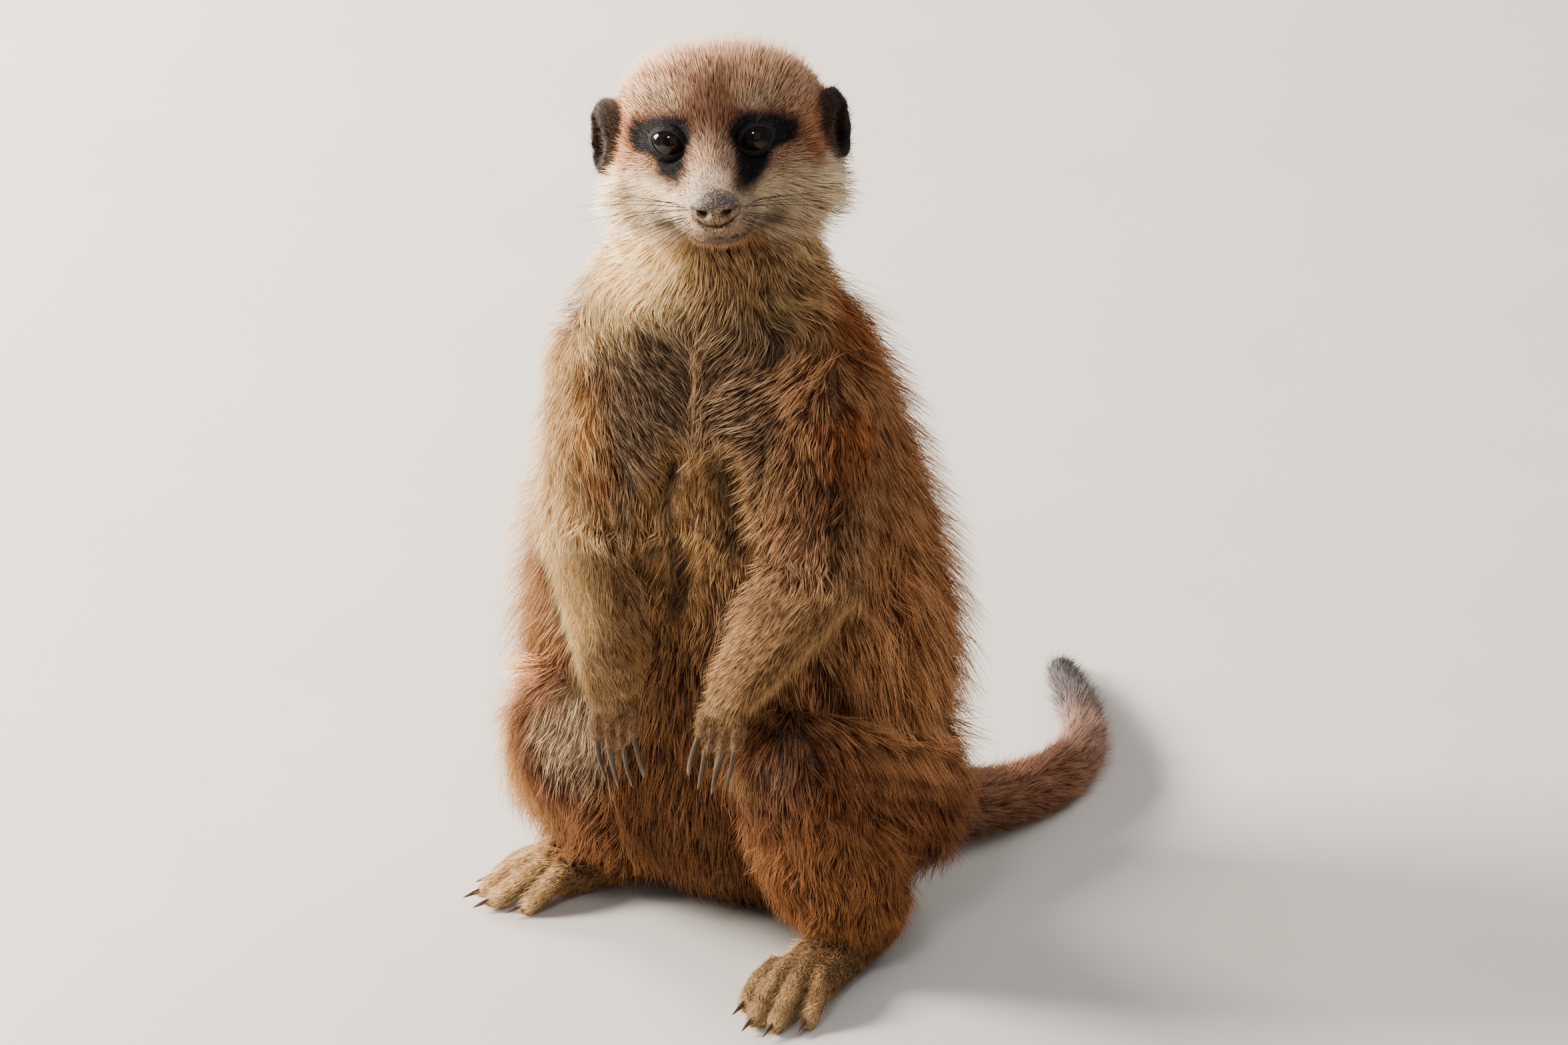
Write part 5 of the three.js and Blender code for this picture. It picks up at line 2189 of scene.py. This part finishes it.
    def plain_dark(
        self, name: str, tint: tuple[float, float, float, float], rough: float, coat: float
    ) -> Material:
        """Nearly black skin or hair with a slight unevenness."""
        made, g, shader = self.material(name)
        shade = g.mix(tint, colour(40, 31, 27), g.maths("MULTIPLY", g.noise(0.8), 0.3))
        g.feed(shader.inputs["Base Color"], shade)
        shader.inputs["Roughness"].default_value = rough
        shader.inputs["Coat Weight"].default_value = coat
        return made

    def nose_material(self) -> Material:
        """Pebbled dark leather with dry sand on its front, and painted shade in the nostrils."""
        made, g, shader = self.material("nose_pad")
        pebble, patches, grit = g.cells(0.4), g.noise(2.2, 3.0), g.noise(0.6, 3.0)
        pit = g.attribute("pit")
        leather = g.mix(colour(20, 18, 18), colour(76, 73, 75), pebble)
        sand = g.mix(colour(56, 36, 24), colour(182, 140, 96), g.span(g.noise(0.32), 0.35, 0.62))
        reach = g.maths("ADD", g.maths("MULTIPLY", g.attribute("low"), 0.12), grit)
        reach = g.maths("ADD", reach, g.maths("MULTIPLY", patches, 0.5))
        cover = g.span(reach, 0.68, 0.86)
        cover = g.maths("MULTIPLY", cover, g.maths("SUBTRACT", 1.0, pit))
        cover = g.maths("MULTIPLY", cover, 0.88)
        # Painted shade: the nostrils and the slits beside them are made near black.
        leather = g.mix(leather, colour(8, 7, 7), pit)
        shade = g.mix(leather, sand, cover)
        g.feed(shader.inputs["Base Color"], shade)
        g.feed(shader.inputs["Roughness"], g.maths("ADD", 0.42, g.maths("MULTIPLY", cover, 0.4)))
        height = g.maths("SUBTRACT", g.maths("MULTIPLY", grit, 0.4), pebble)
        g.feed(shader.inputs["Normal"], g.bump(height, 0.7, 0.16))
        return made

    def claw_material(self) -> Material:
        """Slate horn that pales to its point, with faint lengthwise streaks."""
        made, g, shader = self.material("claw")
        along, streak = g.attribute("along"), g.noise(0.7, 3.0)
        base = g.mix(colour(38, 30, 22), colour(92, 76, 58), streak)
        shade = g.mix(base, colour(122, 96, 70), g.span(along, 0.74, 1.05))
        g.feed(shader.inputs["Base Color"], shade)
        shader.inputs["Roughness"].default_value = 0.48
        shader.inputs["Specular IOR Level"].default_value = 0.3
        return made

    def floor_material(self) -> Material:
        """Plain pale studio floor."""
        made, g, shader = self.material("floor")
        shade = g.mix(colour(196, 190, 182), colour(204, 199, 192), g.noise(60.0))
        g.feed(shader.inputs["Base Color"], shade)
        shader.inputs["Roughness"].default_value = 0.8
        return made


# ----------------------------
# Studio


@dataclass(frozen=True)
class SoftLight:
    """One soft lamp, placed by its direction from the body."""

    name: str
    azimuth: float
    elevation: float
    distance: float
    size: float
    power: float
    tint: tuple[float, float, float] = (1.0, 1.0, 1.0)


@dataclass(frozen=True)
class Studio:
    """Floor, lights and camera."""

    finishes: Finishes
    aim: tuple[float, float, float] = (14.0, -44.5, 115.0)
    azimuth: float = 22.0
    elevation: float = 26.0
    distance: float = 3000.0
    sensor: float = 36.0
    seen_width: float = 411.6
    floor_size: float = 4000.0
    sky: tuple[float, float, float, float] = (0.9, 0.93, 1.0, 1.0)
    sky_strength: float = 0.27
    lights: tuple[SoftLight, ...] = (
        SoftLight("key", -74.0, 24.0, 1.5, 0.5, 98.0, (1.0, 0.93, 0.83)),
        SoftLight("rim", -118.0, 14.0, 1.5, 0.5, 66.0, (1.0, 0.92, 0.79)),
        SoftLight("fill", 42.0, 34.0, 1.8, 1.4, 3.0, (0.96, 0.98, 1.0)),
        SoftLight("top", 150.0, 50.0, 1.6, 0.9, 11.0, (1.0, 0.96, 0.9)),
        SoftLight("glint", 6.0, 50.0, 1.5, 0.24, 6.0),
    )

    @staticmethod
    def away(azimuth: float, elevation: float) -> Array:
        """Unit direction from the body, where azimuth 0 looks along +Y at the chest."""
        turn, lift = math.radians(azimuth), math.radians(elevation)
        flat = math.cos(lift)
        return np.array([flat * math.sin(turn), -flat * math.cos(turn), math.sin(lift)])

    @staticmethod
    def turned(place: Array, target: Array) -> tuple[float, float, float]:
        """Euler angles that look from the place to the target."""
        ahead = Vector(target - place)
        return tuple(ahead.to_track_quat("-Z", "Y").to_euler())

    def build(self) -> None:
        """Makes everything round the animal."""
        scene = bpy.context.scene
        self.build_floor()
        target = np.array(self.aim) * MM
        data = bpy.data.cameras.new("camera")
        data.sensor_width = self.sensor
        data.lens = self.sensor * self.distance / self.seen_width
        data.clip_start, data.clip_end = 0.1, 20.0
        camera = bpy.data.objects.new("camera", data)
        scene.collection.objects.link(camera)
        place = target + self.away(self.azimuth, self.elevation) * self.distance * MM
        camera.location = place
        camera.rotation_euler = self.turned(place, target)
        scene.camera = camera
        for light in self.lights:
            self.add_light(light, target)
        world = bpy.data.worlds.new("studio")
        scene.world = world
        world.use_nodes = True
        background = world.node_tree.nodes["Background"]
        background.inputs["Color"].default_value = self.sky
        background.inputs["Strength"].default_value = self.sky_strength
        log.info("studio: floor, %d lights and camera", len(self.lights))

    def add_light(self, light: SoftLight, target: Array) -> None:
        """Makes one square lamp that faces the body."""
        data = bpy.data.lights.new(light.name, "AREA")
        data.size, data.energy, data.color = light.size, light.power, light.tint
        lamp = bpy.data.objects.new(light.name, data)
        bpy.context.scene.collection.objects.link(lamp)
        place = target + self.away(light.azimuth, light.elevation) * light.distance
        lamp.location = place
        lamp.rotation_euler = self.turned(place, target)

    def build_floor(self) -> None:
        """Makes the floor as one large sheet."""
        bm = bmesh.new()
        bmesh.ops.create_grid(bm, x_segments=4, y_segments=4, size=self.floor_size * MM)
        floor = mesh_object("floor", bm)
        floor.data.materials.append(self.finishes.floor)


# ----------------------------
# All of it


def main() -> None:
    """Builds the animal and its studio in order."""
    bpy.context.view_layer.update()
    finishes = Finishes()
    body = BodyMap()
    skin = Skin(body, CoatMap(body), Markings(body))
    skin.piece = skin.build()
    skin.piece.data.materials.append(finishes.skin)
    for side in SIDES:
        Eyeball(side, finishes.eye).build()
        for kind in ("fore", "hind"):
            Claws(kind, side, finishes.claw).build()
    LidRims(finishes.lid).build()
    NosePad(finishes.nose).build()
    coat = Coat(skin, finishes.hair, 1.0)
    coat.grow()
    Whiskers(coat.field, finishes.whisker).build()
    Studio(finishes).build()
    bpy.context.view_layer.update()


if __name__ == "__main__":
    main()
